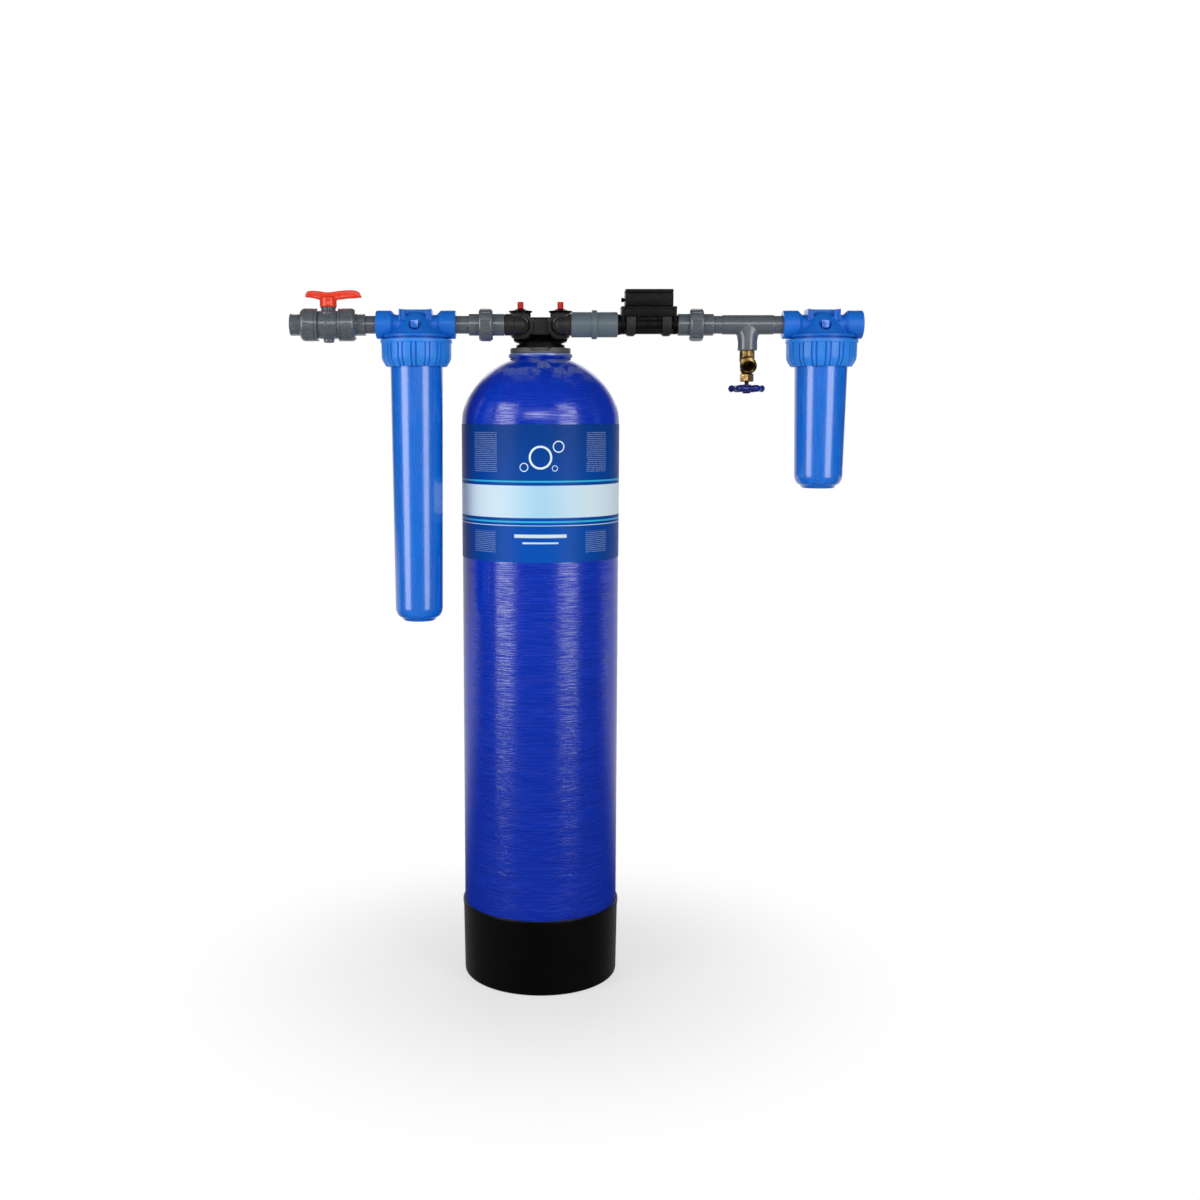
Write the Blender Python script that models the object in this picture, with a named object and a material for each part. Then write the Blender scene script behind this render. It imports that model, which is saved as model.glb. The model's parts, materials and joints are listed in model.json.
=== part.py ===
"""Whole house water filter: a tank with its head and bypass, two filter housings,
a ball valve, a flow meter and a drain valve, all on one line of plastic pipe.

Metres, +Z up. The origin is on the floor under the middle of the tank, and -Y is the front.
"""
import math

import bmesh
import bpy

# Fit between neighbouring pieces
GAP = 0.0003
OVERRUN = 0.003

# Facets of round pieces
PIPE_STEPS = 14
SMALL_STEPS = 10
WATER_STEPS = 8
TANK_STEPS = 28
HOUSING_STEPS = 20
SHELL_BOTTOM_STEPS = 4
DOME_STEPS = 6
ROUND_END_STEPS = 2
BALL_STEPS = 6
COLLAR_LOBE_STEPS = 6
ELBOW_LOBE_STEPS = 4
WHEEL_LOBE_STEPS = 4

# Tank
TANK_RADIUS = 0.153
TANK_WALL = 0.005
TANK_BOTTOM_RISE = 0.115
TANK_SHOULDER_HEIGHT = 1.105
TANK_DOME_RISE = 0.125
NECK_RADIUS = 0.058
NECK_RIM_RADIUS = 0.062
NECK_RIM_HEIGHT = 0.0098
NECK_BORE_RADIUS = 0.050
BASE_HEIGHT = 0.152
BASE_FOOT_PROUD = 0.001
BASE_TOP_PROUD = 0.005
BASE_FLOOR = 0.006
BASE_FOOT_CHAMFER = 0.004
BASE_SEAT_HEIGHT = 0.100
BASE_WALL = 0.005
LABEL_HEIGHT = 0.257
LABEL_THICKNESS = 0.0005
LABEL_ARC = math.radians(204)
LABEL_STEPS = 22

# Inside the tank
RISER_RADIUS = 0.0134
RISER_WALL = 0.0022
BASKET_RADIUS = 0.026
BASKET_HEIGHT = 0.075
BASKET_WALL = 0.003
BASKET_SOCKET = 0.020
MEDIA_HEIGHT = 0.740

# Neck collar and head
COLLAR_RADIUS = 0.060
COLLAR_FLANGE = 0.0097
COLLAR_SPIGOT = 0.028
COLLAR_LOBES = 4
COLLAR_LOBE_DEPTH = 0.0015
HEAD_THREAD_RADIUS = 0.0325
HEAD_THREAD_LENGTH = 0.024
HEAD_FLANGE_RADIUS = 0.047
HEAD_GROOVE_RADIUS = 0.042
HEAD_RING_HEIGHT = 0.0035
HEAD_GROOVE_HEIGHT = 0.0022
HEAD_WAIST_RADIUS = 0.039
HEAD_BLOCK_WIDTH = 0.104
HEAD_BLOCK_BACK = 0.034
HEAD_BLOCK_FRONT = 0.018
HEAD_BLOCK_RISE = 0.0195
HEAD_BLOCK_DROP = 0.026
HEAD_BLOCK_BEVEL = 0.006
HEAD_RISER_SOCKET = 0.022

# Pipe line
PIPE_RISE = 0.0395
PIPE_RADIUS = 0.0167
PIPE_WALL = 0.0034
WATER_RADIUS = 0.0120
SOCKET_DEPTH = 0.0110

# Bypass, its plugs, caps and knobs, and the elbows in front of it
PORT_SPACING = 0.076
BYPASS_FORWARD = 0.038
PLUG_HOUSING_RADIUS = 0.0182
PLUG_HOUSING_DROP = 0.0225
PLUG_HOUSING_RISE = 0.0250
PLUG_RADIUS = 0.0140
PLUG_FLOOR = 0.004
BYPASS_PORT_RADIUS = 0.0205
BYPASS_PORT_REACH = 0.0225
BYPASS_SPIGOT_RADIUS = 0.0130
BYPASS_SPIGOT_REACH = 0.0290
BYPASS_BAR_RADIUS = 0.0120
BYPASS_WATER_RADIUS = 0.0090
BYPASS_BAR_WATER_RADIUS = 0.0080
CAP_RADIUS = 0.0225
CAP_HEIGHT = 0.0045
CAP_SKIRT = 0.0035
CAP_CONE_RADIUS = 0.0085
CAP_CONE_HEIGHT = 0.0030
SPINDLE_RADIUS = 0.0044
KNOB_RADIUS = 0.0058
KNOB_HEIGHT = 0.0130
KNOB_SOCKET = 0.0060
KNOB_ROUND = 0.0010
ELBOW_LEG = 0.0330
ELBOW_LEG_RADIUS = 0.0155
ELBOW_ARM_RADIUS = 0.0200
ELBOW_ARM = 0.0290
ELBOW_ARM_SHOULDER = 0.0140
ELBOW_FLANGE_RADIUS = 0.0200
ELBOW_FLANGE = 0.0035
ELBOW_NUT_RADIUS = 0.0232
ELBOW_NUT_RIB = 0.0014
ELBOW_NUT_RIBS = 10
ELBOW_NUT_FRONT = 0.0045
ELBOW_NUT_BACK = 0.0035

# Unions and their nuts, also on the ball valve
TAIL_RADIUS = 0.0203
COLLAR_IN_NUT_RADIUS = 0.0245
COLLAR_IN_NUT = 0.0045
NUT_RADIUS = 0.0290
NUT_RIB = 0.0015
NUT_RIBS = 12
NUT_CHAMFER = 0.0040
NUT_LIP = 0.0055
UNION_NUT_LENGTH = 0.0265
UNION_TAIL_IN = 0.0210
UNION_TAIL_OUT = 0.0190

# Ball valve
VALVE_TAIL = 0.0200
VALVE_NUT_LENGTH = 0.0330
VALVE_BODY_RADIUS = 0.0260
VALVE_BODY_LENGTH = 0.0370
VALVE_OUTLET_TAIL = 0.0180
BALL_RADIUS = 0.0190
BALL_CLEARANCE = 0.0008
VALVE_NECK_RADIUS = 0.0150
VALVE_NECK_RISE = 0.0320
VALVE_BOSS_RADIUS = 0.0098
VALVE_BOSS_DROP = 0.0335
STEM_RADIUS = 0.0060
HUB_RADIUS = 0.0162
HUB_HEIGHT = 0.0160
HUB_SOCKET = 0.0120
HANDLE_SHORT = 0.0425
HANDLE_LONG = 0.0630
HANDLE_WIDTH = 0.0200
HANDLE_UNDERSIDE = 0.0480
HANDLE_DEPTH = 0.0150

# Nipples, as the length that shows between two pieces
INLET_NIPPLE_SHOWS = 0.0195
PREFILTER_NIPPLE_SHOWS = 0.0240
TEE_NIPPLE_IN_SHOWS = 0.0155
TEE_NIPPLE_OUT_SHOWS = 0.0156

# Filter housings
PORT_TO_PORT = 0.1486
PORT_RADIUS = 0.0260
PORT_LENGTH = 0.0280
PORT_TAPER = 0.0100
PORT_BARREL_RADIUS = 0.0180
FLANGE_PROUD = 0.0045
FLANGE_DROP = 0.0175
FLANGE_HEIGHT = 0.0065
DOME_RADIUS = 0.0477
DOME_TOP = 0.0245
BRACKET_WIDTH = 0.0600
BRACKET_DEPTH = 0.0440
BRACKET_RISE = 0.0290
BRACKET_HEIGHT = 0.0210
BRACKET_LIP = 0.0070
BRACKET_RECESS = 0.0020
SKIRT_RADIUS = 0.0560
SKIRT_WALL = 0.0060
SKIRT_DROP = 0.0640
CHAMBER_DROP = 0.0270
RING_PROUD = 0.0085
RING_RIB = 0.0022
RING_RIBS = 16
RING_TOP_DROP = 0.0275
RING_HEIGHT = 0.0500
RING_RIM = 0.0060
RING_RIM_PROUD = 0.0112
RING_TAPER_HEIGHT = 0.0120
RING_BOTTOM_PROUD = 0.0020
RING_LIP = 0.0070
SUMP_TOP_INSET = 0.0070
SUMP_BOTTOM_RADIUS = 0.0450
SUMP_WALL = 0.0042
SUMP_ROUND = 0.0140
SUMP_INNER_CHAMFER = 0.0080
SUMP_FOOT_RADIUS = 0.0325
SUMP_FOOT = 0.0030
PREFILTER_DROP = 0.5565
POSTFILTER_DROP = 0.3040
CARTRIDGE_RADIUS = 0.0318
CARTRIDGE_CORE_RADIUS = 0.0140
CARTRIDGE_SEAT_RADIUS = 0.0230
CARTRIDGE_SEAT_HEIGHT = 0.0040
VENT_RADIUS = 0.0062
VENT_RECESS_RADIUS = 0.0105
VENT_RECESS_DEPTH = 0.0100
VENT_GUIDE_DEPTH = 0.0080
VENT_SHOWS = 0.0080
VENT_TRAVEL = 0.0025
INLET_DRILL_OFFSET = 0.0390
INLET_DRILL_RADIUS = 0.0070
OUTLET_DRILL_RADIUS = 0.0095

# Meter and the coupling before it
COUPLING_LENGTH = 0.0870
COUPLING_RADIUS = 0.0233
COUPLING_RIDGE_RADIUS = 0.0267
COUPLING_RIDGE = 0.0100
COUPLING_CHAMFER = 0.0015
COUPLING_COVERS = 0.0100
METER_NECK = 0.0050
METER_NECK_RADIUS = 0.0190
METER_BODY_LENGTH = 0.1040
METER_TUBE_RADIUS = 0.0180
METER_END_GAP = 0.0030
METER_SHOULDER_BASE = 0.0134
METER_SHOULDER_RISE = 0.0325
METER_SHOULDER_DEPTH = 0.0440
METER_SHOULDER_INSET = 0.0010
METER_HOUSING_LENGTH = 0.0890
METER_HOUSING_DEPTH = 0.0480
METER_HOUSING_HEIGHT = 0.0235
METER_HOUSING_SHIFT = 0.0005
METER_HOUSING_BEVEL = 0.0015
METER_LID_HEIGHT = 0.0070
METER_GLAND_RADIUS = 0.0040
METER_GLAND_LENGTH = 0.0065
METER_GLAND_RISE = 0.0125
CLIP_LENGTH = 0.0165
CLIP_RISE = 0.0130
CLIP_DROP = 0.0210
CLIP_WALL = 0.0045
CLIP_INSET = 0.0100
TURBINE_HUB_RADIUS = 0.0030
TURBINE_LENGTH = 0.0180
TURBINE_BLADES = 6
TURBINE_BLADE = 0.0016

# Tee and the drain valve that hangs from it
TEE_LENGTH = 0.0980
TEE_RADIUS = 0.0182
TEE_BRANCH_RADIUS = 0.0187
TEE_BRANCH_DROP = 0.0480
DRAIN_THREAD_RADIUS = 0.0125
DRAIN_THREAD_LENGTH = 0.0130
DRAIN_SHANK_RADIUS = 0.0142
DRAIN_SHANK = 0.0180
DRAIN_BARREL_RADIUS = 0.0128
DRAIN_BARREL_DROP = 0.0420
DRAIN_BONNET_RADIUS = 0.0095
DRAIN_BONNET = 0.0062
DRAIN_CHAMBER_RADIUS = 0.0072
DRAIN_SEAT_RADIUS = 0.0045
DRAIN_SEAT_DROP = 0.0080
DRAIN_WASHER_RADIUS = 0.0062
DRAIN_WASHER_HEIGHT = 0.0030
DRAIN_STEM_RADIUS = 0.0042
DRAIN_NUT_RADIUS = 0.0136
DRAIN_NUT_HEIGHT = 0.0145
DRAIN_WHEEL_GAP = 0.0054
DRAIN_WHEEL_HEIGHT = 0.0165
DRAIN_WHEEL_INSET = 0.0030
DRAIN_WHEEL_WEB = 0.0030
DRAIN_WHEEL_RADIUS = 0.0315
DRAIN_WHEEL_RIM = 0.0090
DRAIN_WHEEL_LOBE = 0.0030
DRAIN_WHEEL_LOBES = 6
DRAIN_WHEEL_HUB_RADIUS = 0.0090
DRAIN_SPOUT_DROP = 0.0145
DRAIN_SPOUT_TILT = math.radians(35)
DRAIN_SPOUT_LENGTH = 0.0290
DRAIN_SPOUT_NECK_RADIUS = 0.0118
DRAIN_SPOUT_THREAD = 0.0120
DRAIN_SPOUT_THREAD_RADIUS = 0.0145
DRAIN_SPOUT_BORE_RADIUS = 0.0090
DRAIN_SPOUT_BORE_START = 0.0040

# Places that follow from the sizes
TANK_SHELL_BOTTOM = BASE_FLOOR + GAP
BASE_FOOT_RADIUS = TANK_RADIUS + BASE_FOOT_PROUD
BASE_TOP_RADIUS = TANK_RADIUS + BASE_TOP_PROUD
LABEL_BOTTOM = TANK_SHOULDER_HEIGHT - LABEL_HEIGHT
TANK_NECK_HEIGHT = TANK_SHOULDER_HEIGHT + TANK_DOME_RISE
TANK_TOP = TANK_NECK_HEIGHT + NECK_RIM_HEIGHT
COLLAR_BOTTOM = TANK_TOP + GAP
COLLAR_TOP = COLLAR_BOTTOM + COLLAR_FLANGE
PIPE_Z = COLLAR_TOP + PIPE_RISE
PIPE_Y = -(BYPASS_FORWARD + BYPASS_PORT_REACH + ELBOW_LEG)
BYPASS_Y = -BYPASS_FORWARD
PORT_FACE_Y = BYPASS_Y - BYPASS_PORT_REACH
FLANGE_RADIUS = SKIRT_RADIUS + FLANGE_PROUD
RING_RADIUS = SKIRT_RADIUS + RING_PROUD
RING_RIM_RADIUS = SKIRT_RADIUS + RING_RIM_PROUD
RING_BOTTOM_RADIUS = SKIRT_RADIUS + RING_BOTTOM_PROUD
SUMP_TOP_RADIUS = SKIRT_RADIUS - SUMP_TOP_INSET

# Which way a turned piece's own axis points in the world
ALONG_X = (0, math.pi / 2, 0)
AGAINST_X = (0, -math.pi / 2, 0)
ALONG_Y = (-math.pi / 2, 0, 0)
AGAINST_Y = (math.pi / 2, 0, 0)
ALONG_Z = (0, 0, 0)

# A radius below this lies on the axis
ON_AXIS = 1e-9

# Shares of the dome's foot radius, each at a share of the height from its foot to its top
DOME_RADIUS_SHARES = (1.0, 0.95, 0.84, 0.55, 0.36)
DOME_HEIGHT_SHARES = (0.0, 0.14, 0.32, 0.66, 0.90)

# Handle outline seen from the front: shares of its short or long side, each at a share
# of its depth above the underside
HANDLE_TOP_SHARES = ((-0.96, 0.80), (-0.80, 0.92), (-0.40, 0.90), (0.00, 0.72), (0.30, 0.92),
                     (0.60, 1.00), (0.84, 0.92), (0.97, 0.55))
HANDLE_TIP_SHARES = ((1.00, 0.12), (0.60, 0.00), (0.25, -0.16))
HANDLE_BACK_SHARES = ((-0.35, -0.16), (-0.70, 0.06), (-1.00, 0.12))


def clear_scene():
    for item in list(bpy.data.objects):
        bpy.data.objects.remove(item, do_unlink=True)


def material(name, colour, roughness, metallic=0.0):
    """One Principled material, shared by the pieces that are made of it."""
    made = bpy.data.materials.get(name) or bpy.data.materials.new(name)
    made.use_nodes = True
    shader = made.node_tree.nodes["Principled BSDF"]
    shader.inputs["Base Color"].default_value = (*colour, 1)
    shader.inputs["Roughness"].default_value = roughness
    shader.inputs["Metallic"].default_value = metallic
    return made


def finish(name, shape, place, rotation, surface):
    """Turn a bmesh into a named object at its place."""
    bmesh.ops.recalc_face_normals(shape, faces=shape.faces)
    data = bpy.data.meshes.new(name)
    shape.to_mesh(data)
    shape.free()
    data.shade_smooth()
    data.set_sharp_from_angle(angle=math.radians(32))
    made = bpy.data.objects.new(name, data)
    made.location = place
    made.rotation_euler = rotation
    bpy.context.scene.collection.objects.link(made)
    if surface:
        data.materials.append(surface)
    return made


def even_angles(steps):
    """Angles round a plain piece, with a flat and not an edge on each of its own axes."""
    return [(math.tau * (step + 0.5) / steps, 0) for step in range(steps)]


def rib_angles(count):
    """Two angles for each rib: its root, and its crest half a pitch on."""
    return [(math.tau * step / (2 * count), step % 2) for step in range(2 * count)]


def lobe_angles(count, steps):
    """Angles round a wavy rim, each with how far out of its hollows it stands, 0 to 1."""
    return [(math.tau * step / (count * steps), (1 - math.cos(math.tau * step / steps)) / 2)
            for step in range(count * steps)]


def around(radius, steps):
    """Corner radius of a faceted bore whose flats clear a round piece of this radius."""
    return (radius + GAP) / math.cos(math.pi / steps)


def turned(name, profile, place, rotation, surface, angles, rib=0.0):
    """A closed turned piece. Its profile holds (radius, height) points, or
    (radius, height, True) where the ribs stand out. A profile that starts and ends
    on the axis is closed there, and any other one closes on itself."""
    shape = bmesh.new()
    rows = []
    for radius, height, *ribbed in profile:
        if radius < ON_AXIS:
            rows.append([shape.verts.new((0, 0, height))])
            continue
        extra = rib if ribbed else 0
        rows.append([shape.verts.new(((radius + extra * depth) * math.cos(angle),
                                      (radius + extra * depth) * math.sin(angle), height))
                     for angle, depth in angles])
    pairs = list(zip(rows, rows[1:]))
    if len(rows[0]) > 1:
        pairs.append((rows[-1], rows[0]))
    count = len(angles)
    for lower, upper in pairs:
        for step in range(count):
            after = (step + 1) % count
            corners = [lower[step % len(lower)], lower[after % len(lower)],
                       upper[after % len(upper)], upper[step % len(upper)]]
            shape.faces.new(list(dict.fromkeys(corners)))
    return finish(name, shape, place, rotation, surface)


def arc(radius, rise, height, start, end, steps):
    """Points of an elliptical quarter: radius along r, rise along h, angles from the r axis."""
    return [(radius * math.cos(start + (end - start) * step / steps),
             height + rise * math.sin(start + (end - start) * step / steps))
            for step in range(steps + 1)]


def box(name, low, high, surface, bevel=0.0):
    """A box from its low to its high corner, with its origin at its middle."""
    middle = [(a + b) / 2 for a, b in zip(low, high)]
    shape = bmesh.new()
    bmesh.ops.create_cube(shape, size=1)
    for vert in shape.verts:
        vert.co = [(b - a) * value for a, b, value in zip(low, high, vert.co)]
    if bevel:
        bmesh.ops.bevel(shape, geom=shape.edges[:], offset=bevel, segments=2, profile=0.5,
                        affect="EDGES")
    return finish(name, shape, middle, ALONG_Z, surface)


def extruded(name, points, start, end, place, rotation, surface):
    """A flat outline, carried from start to end along its own axis."""
    shape = bmesh.new()
    low = [shape.verts.new((x, y, start)) for x, y in points]
    high = [shape.verts.new((x, y, end)) for x, y in points]
    shape.faces.new(low)
    shape.faces.new(high)
    for step in range(len(points)):
        after = (step + 1) % len(points)
        shape.faces.new((low[step], low[after], high[after], high[step]))
    return finish(name, shape, place, rotation, surface)


def rod(name, radius, start, end, place, rotation, steps=PIPE_STEPS, surface=None):
    """A plain closed cylinder from start to end along its own axis."""
    profile = [(0, start), (radius, start), (radius, end), (0, end)]
    return turned(name, profile, place, rotation, surface, even_angles(steps))


def combine(body, tool, operation):
    """Join a shape to a body, or cut it out of the body, and leave it out of the build."""
    change = body.modifiers.new(tool.name, "BOOLEAN")
    change.operation = operation
    change.object = tool
    change.solver = "EXACT"
    tool.hide_render = True
    tool.display_type = "WIRE"


def join(body, *tools):
    for tool in tools:
        combine(body, tool, "UNION")


def cut(body, *tools):
    for tool in tools:
        combine(body, tool, "DIFFERENCE")


def pipe_place(x):
    return (x, PIPE_Y, PIPE_Z)


clear_scene()

PVC = material("grey_pvc", (0.075, 0.090, 0.100), 0.35)
PALE_PVC = material("pale_grey_pvc", (0.125, 0.165, 0.195), 0.40)
BLACK = material("black_plastic", (0.016, 0.016, 0.016), 0.45)
DARK = material("dark_grey_plastic", (0.035, 0.034, 0.033), 0.48)
COLLAR_GREY = material("collar_grey_plastic", (0.105, 0.105, 0.100), 0.5)
TANK_BLUE = material("tank_blue_resin", (0.000, 0.022, 0.400), 0.18)
BOOT_BLACK = material("boot_black_rubber", (0.012, 0.012, 0.013), 0.7)
LABEL_BLUE = material("label_blue_film", (0.004, 0.060, 0.340), 0.35)
HEAD_BLUE = material("housing_head_blue", (0.010, 0.120, 0.560), 0.4)
RING_BLUE = material("housing_ring_blue", (0.030, 0.220, 0.780), 0.4)
SUMP_BLUE = material("housing_sump_blue", (0.012, 0.180, 0.800), 0.2)
HANDLE_RED = material("handle_orange_red", (0.900, 0.045, 0.012), 0.35)
KNOB_RED = material("knob_red", (0.780, 0.028, 0.020), 0.35)
BRASS = material("cast_brass", (0.420, 0.260, 0.060), 0.35, 1.0)
WHEEL_BLUE = material("wheel_dark_blue_paint", (0.012, 0.012, 0.200), 0.35)
WHITE = material("white_plastic", (0.750, 0.750, 0.730), 0.5)
FELT = material("white_filter_media", (0.800, 0.800, 0.770), 0.9)
CARBON = material("granular_carbon", (0.010, 0.010, 0.010), 0.9)
SEAL = material("black_rubber", (0.015, 0.015, 0.015), 0.8)


def tank():
    """The moulded base, the wound shell with its open neck, and the label film round it."""
    seat = TANK_RADIUS + GAP
    turned("tank_base", [
        (0, 0), (BASE_FOOT_RADIUS - BASE_FOOT_CHAMFER, 0), (BASE_FOOT_RADIUS, BASE_FOOT_CHAMFER),
        (BASE_TOP_RADIUS, BASE_HEIGHT), (seat, BASE_HEIGHT), (seat, BASE_SEAT_HEIGHT),
        (BASE_FOOT_RADIUS - BASE_WALL, BASE_FLOOR), (0, BASE_FLOOR),
    ], (0, 0, 0), ALONG_Z, BOOT_BLACK, even_angles(TANK_STEPS))

    wall_start = TANK_SHELL_BOTTOM + TANK_BOTTOM_RISE
    inner = TANK_RADIUS - TANK_WALL
    neck_angle = math.acos(NECK_RADIUS / TANK_RADIUS)
    dome = TANK_DOME_RISE / math.sin(neck_angle)
    bore_angle = math.acos(NECK_BORE_RADIUS / inner)
    quarter = math.pi / 2
    profile = arc(TANK_RADIUS, TANK_BOTTOM_RISE, wall_start, -quarter, 0, SHELL_BOTTOM_STEPS)
    profile += arc(TANK_RADIUS, dome, TANK_SHOULDER_HEIGHT, 0, neck_angle, DOME_STEPS)
    profile += [(NECK_RIM_RADIUS, TANK_NECK_HEIGHT + NECK_RIM_HEIGHT / 3),
                (NECK_RIM_RADIUS, TANK_TOP), (NECK_BORE_RADIUS, TANK_TOP)]
    profile += arc(inner, dome - TANK_WALL, TANK_SHOULDER_HEIGHT, bore_angle, 0, DOME_STEPS - 2)
    profile += arc(inner, TANK_BOTTOM_RISE - TANK_WALL, wall_start, 0, -quarter, SHELL_BOTTOM_STEPS)
    turned("tank_shell", profile, (0, 0, 0), ALONG_Z, TANK_BLUE, even_angles(TANK_STEPS))

    low, high = LABEL_BOTTOM, LABEL_BOTTOM + LABEL_HEIGHT
    inside = around(TANK_RADIUS, LABEL_STEPS * math.tau / LABEL_ARC)
    outside = inside + LABEL_THICKNESS
    angles = [-quarter + LABEL_ARC * (step / LABEL_STEPS - 0.5) for step in range(LABEL_STEPS + 1)]
    outline = [(inside * math.cos(angle), inside * math.sin(angle)) for angle in angles]
    outline += [(outside * math.cos(angle), outside * math.sin(angle)) for angle in reversed(angles)]
    extruded("tank_label", outline, low, high, (0, 0, 0), ALONG_Z, LABEL_BLUE)


def tank_contents():
    """The riser tube, the basket that it stands in, and the bed of carbon round both."""
    inner = TANK_RADIUS - TANK_WALL
    rise = TANK_BOTTOM_RISE - TANK_WALL
    wall_start = TANK_SHELL_BOTTOM + TANK_BOTTOM_RISE
    first = math.pi / 2 / SHELL_BOTTOM_STEPS
    slope = rise * (1 - math.cos(first)) / (inner * math.sin(first))
    bottom = wall_start - rise + slope * BASKET_RADIUS + GAP
    top = bottom + BASKET_HEIGHT
    shelf = top - BASKET_SOCKET
    bore = RISER_RADIUS - RISER_WALL
    socket = around(RISER_RADIUS, PIPE_STEPS)
    turned("bottom_basket", [
        (0, bottom), (BASKET_RADIUS, bottom), (BASKET_RADIUS, top), (socket, top), (socket, shelf),
        (bore, shelf), (bore, shelf - BASKET_WALL), (BASKET_RADIUS - BASKET_WALL, shelf - BASKET_WALL),
        (BASKET_RADIUS - BASKET_WALL, bottom + BASKET_WALL), (0, bottom + BASKET_WALL),
    ], (0, 0, 0), ALONG_Z, WHITE, even_angles(PIPE_STEPS))

    head_bottom = COLLAR_TOP + GAP - HEAD_THREAD_LENGTH
    riser_top = head_bottom + HEAD_RISER_SOCKET - GAP
    turned("riser_tube", [
        (bore, shelf + GAP), (RISER_RADIUS, shelf + GAP), (RISER_RADIUS, riser_top),
        (bore, riser_top),
    ], (0, 0, 0), ALONG_Z, WHITE, even_angles(PIPE_STEPS))

    steps = HOUSING_STEPS
    chord = math.cos(math.pi / 2 / SHELL_BOTTOM_STEPS / 2)
    fill = (inner - GAP) * math.cos(math.pi / TANK_STEPS) * chord
    hollow = around(BASKET_RADIUS, steps)
    foot = math.acos(hollow / fill)
    profile = arc(fill, (rise - GAP) * chord, wall_start, -foot, 0, SHELL_BOTTOM_STEPS)
    profile += [(fill, MEDIA_HEIGHT), (around(RISER_RADIUS, steps), MEDIA_HEIGHT),
                (around(RISER_RADIUS, steps), top + GAP), (hollow, top + GAP)]
    turned("media_bed", profile, (0, 0, 0), ALONG_Z, CARBON, even_angles(steps))


def neck_and_head():
    """The grey collar that closes the tank's neck, and the head that screws into it."""
    steps = COLLAR_LOBES * COLLAR_LOBE_STEPS
    thread = around(HEAD_THREAD_RADIUS, steps)
    spigot = (NECK_BORE_RADIUS - GAP) * math.cos(math.pi / TANK_STEPS)
    rim = COLLAR_RADIUS - COLLAR_LOBE_DEPTH
    turned("neck_collar", [
        (thread, COLLAR_BOTTOM - COLLAR_SPIGOT), (spigot, COLLAR_BOTTOM - COLLAR_SPIGOT),
        (spigot, COLLAR_BOTTOM), (rim, COLLAR_BOTTOM, True), (rim, COLLAR_TOP, True),
        (thread, COLLAR_TOP),
    ], (0, 0, 0), ALONG_Z, COLLAR_GREY, lobe_angles(COLLAR_LOBES, COLLAR_LOBE_STEPS), COLLAR_LOBE_DEPTH)

    base = COLLAR_TOP + GAP
    bottom = base - HEAD_THREAD_LENGTH
    ring_top = base + HEAD_RING_HEIGHT
    groove_top = ring_top + HEAD_GROOVE_HEIGHT
    second_top = groove_top + HEAD_RING_HEIGHT
    block_bottom = PIPE_Z - HEAD_BLOCK_DROP
    head = turned("tank_head", [
        (0, bottom), (HEAD_THREAD_RADIUS, bottom), (HEAD_THREAD_RADIUS, base),
        (HEAD_FLANGE_RADIUS, base), (HEAD_FLANGE_RADIUS, ring_top), (HEAD_GROOVE_RADIUS, ring_top),
        (HEAD_GROOVE_RADIUS, groove_top), (HEAD_FLANGE_RADIUS, groove_top),
        (HEAD_FLANGE_RADIUS, second_top), (HEAD_WAIST_RADIUS, second_top),
        (HEAD_WAIST_RADIUS, block_bottom + OVERRUN), (0, block_bottom + OVERRUN),
    ], (0, 0, 0), ALONG_Z, BLACK, even_angles(HOUSING_STEPS))
    join(head, box("head_block", (-HEAD_BLOCK_WIDTH / 2, -HEAD_BLOCK_FRONT, block_bottom),
                   (HEAD_BLOCK_WIDTH / 2, HEAD_BLOCK_BACK, PIPE_Z + HEAD_BLOCK_RISE),
                   None, HEAD_BLOCK_BEVEL))

    riser_end = bottom + HEAD_RISER_SOCKET
    port_x = PORT_SPACING / 2
    spigot_end = BYPASS_Y + BYPASS_SPIGOT_REACH + GAP
    inlet_drill_x = -(RISER_RADIUS + HEAD_THREAD_RADIUS) / 2
    inlet_drill = (HEAD_THREAD_RADIUS - RISER_RADIUS) / 3
    water = BYPASS_WATER_RADIUS
    cut(head,
        rod("cut_riser", around(RISER_RADIUS, PIPE_STEPS), bottom - OVERRUN, riser_end,
            (0, 0, 0), ALONG_Z),
        rod("cut_riser_water", RISER_RADIUS - RISER_WALL, riser_end - OVERRUN, PIPE_Z,
            (0, 0, 0), ALONG_Z, WATER_STEPS),
        rod("cut_outlet_water", water, 0, port_x, (0, 0, PIPE_Z), ALONG_X, WATER_STEPS),
        rod("cut_inlet_drop", inlet_drill, bottom - OVERRUN, PIPE_Z, (inlet_drill_x, 0, 0),
            ALONG_Z, WATER_STEPS),
        rod("cut_inlet_water", inlet_drill, 0, port_x + inlet_drill_x,
            (inlet_drill_x, 0, PIPE_Z), AGAINST_X, WATER_STEPS))
    for side, name in ((-1, "inlet"), (1, "outlet")):
        place = (side * port_x, 0, PIPE_Z)
        cut(head,
            rod(f"cut_{name}_spigot", around(BYPASS_SPIGOT_RADIUS, PIPE_STEPS),
                -HEAD_BLOCK_FRONT - OVERRUN, spigot_end, place, ALONG_Y),
            rod(f"cut_{name}_port", water, spigot_end - OVERRUN, water, place, ALONG_Y, WATER_STEPS))


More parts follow.
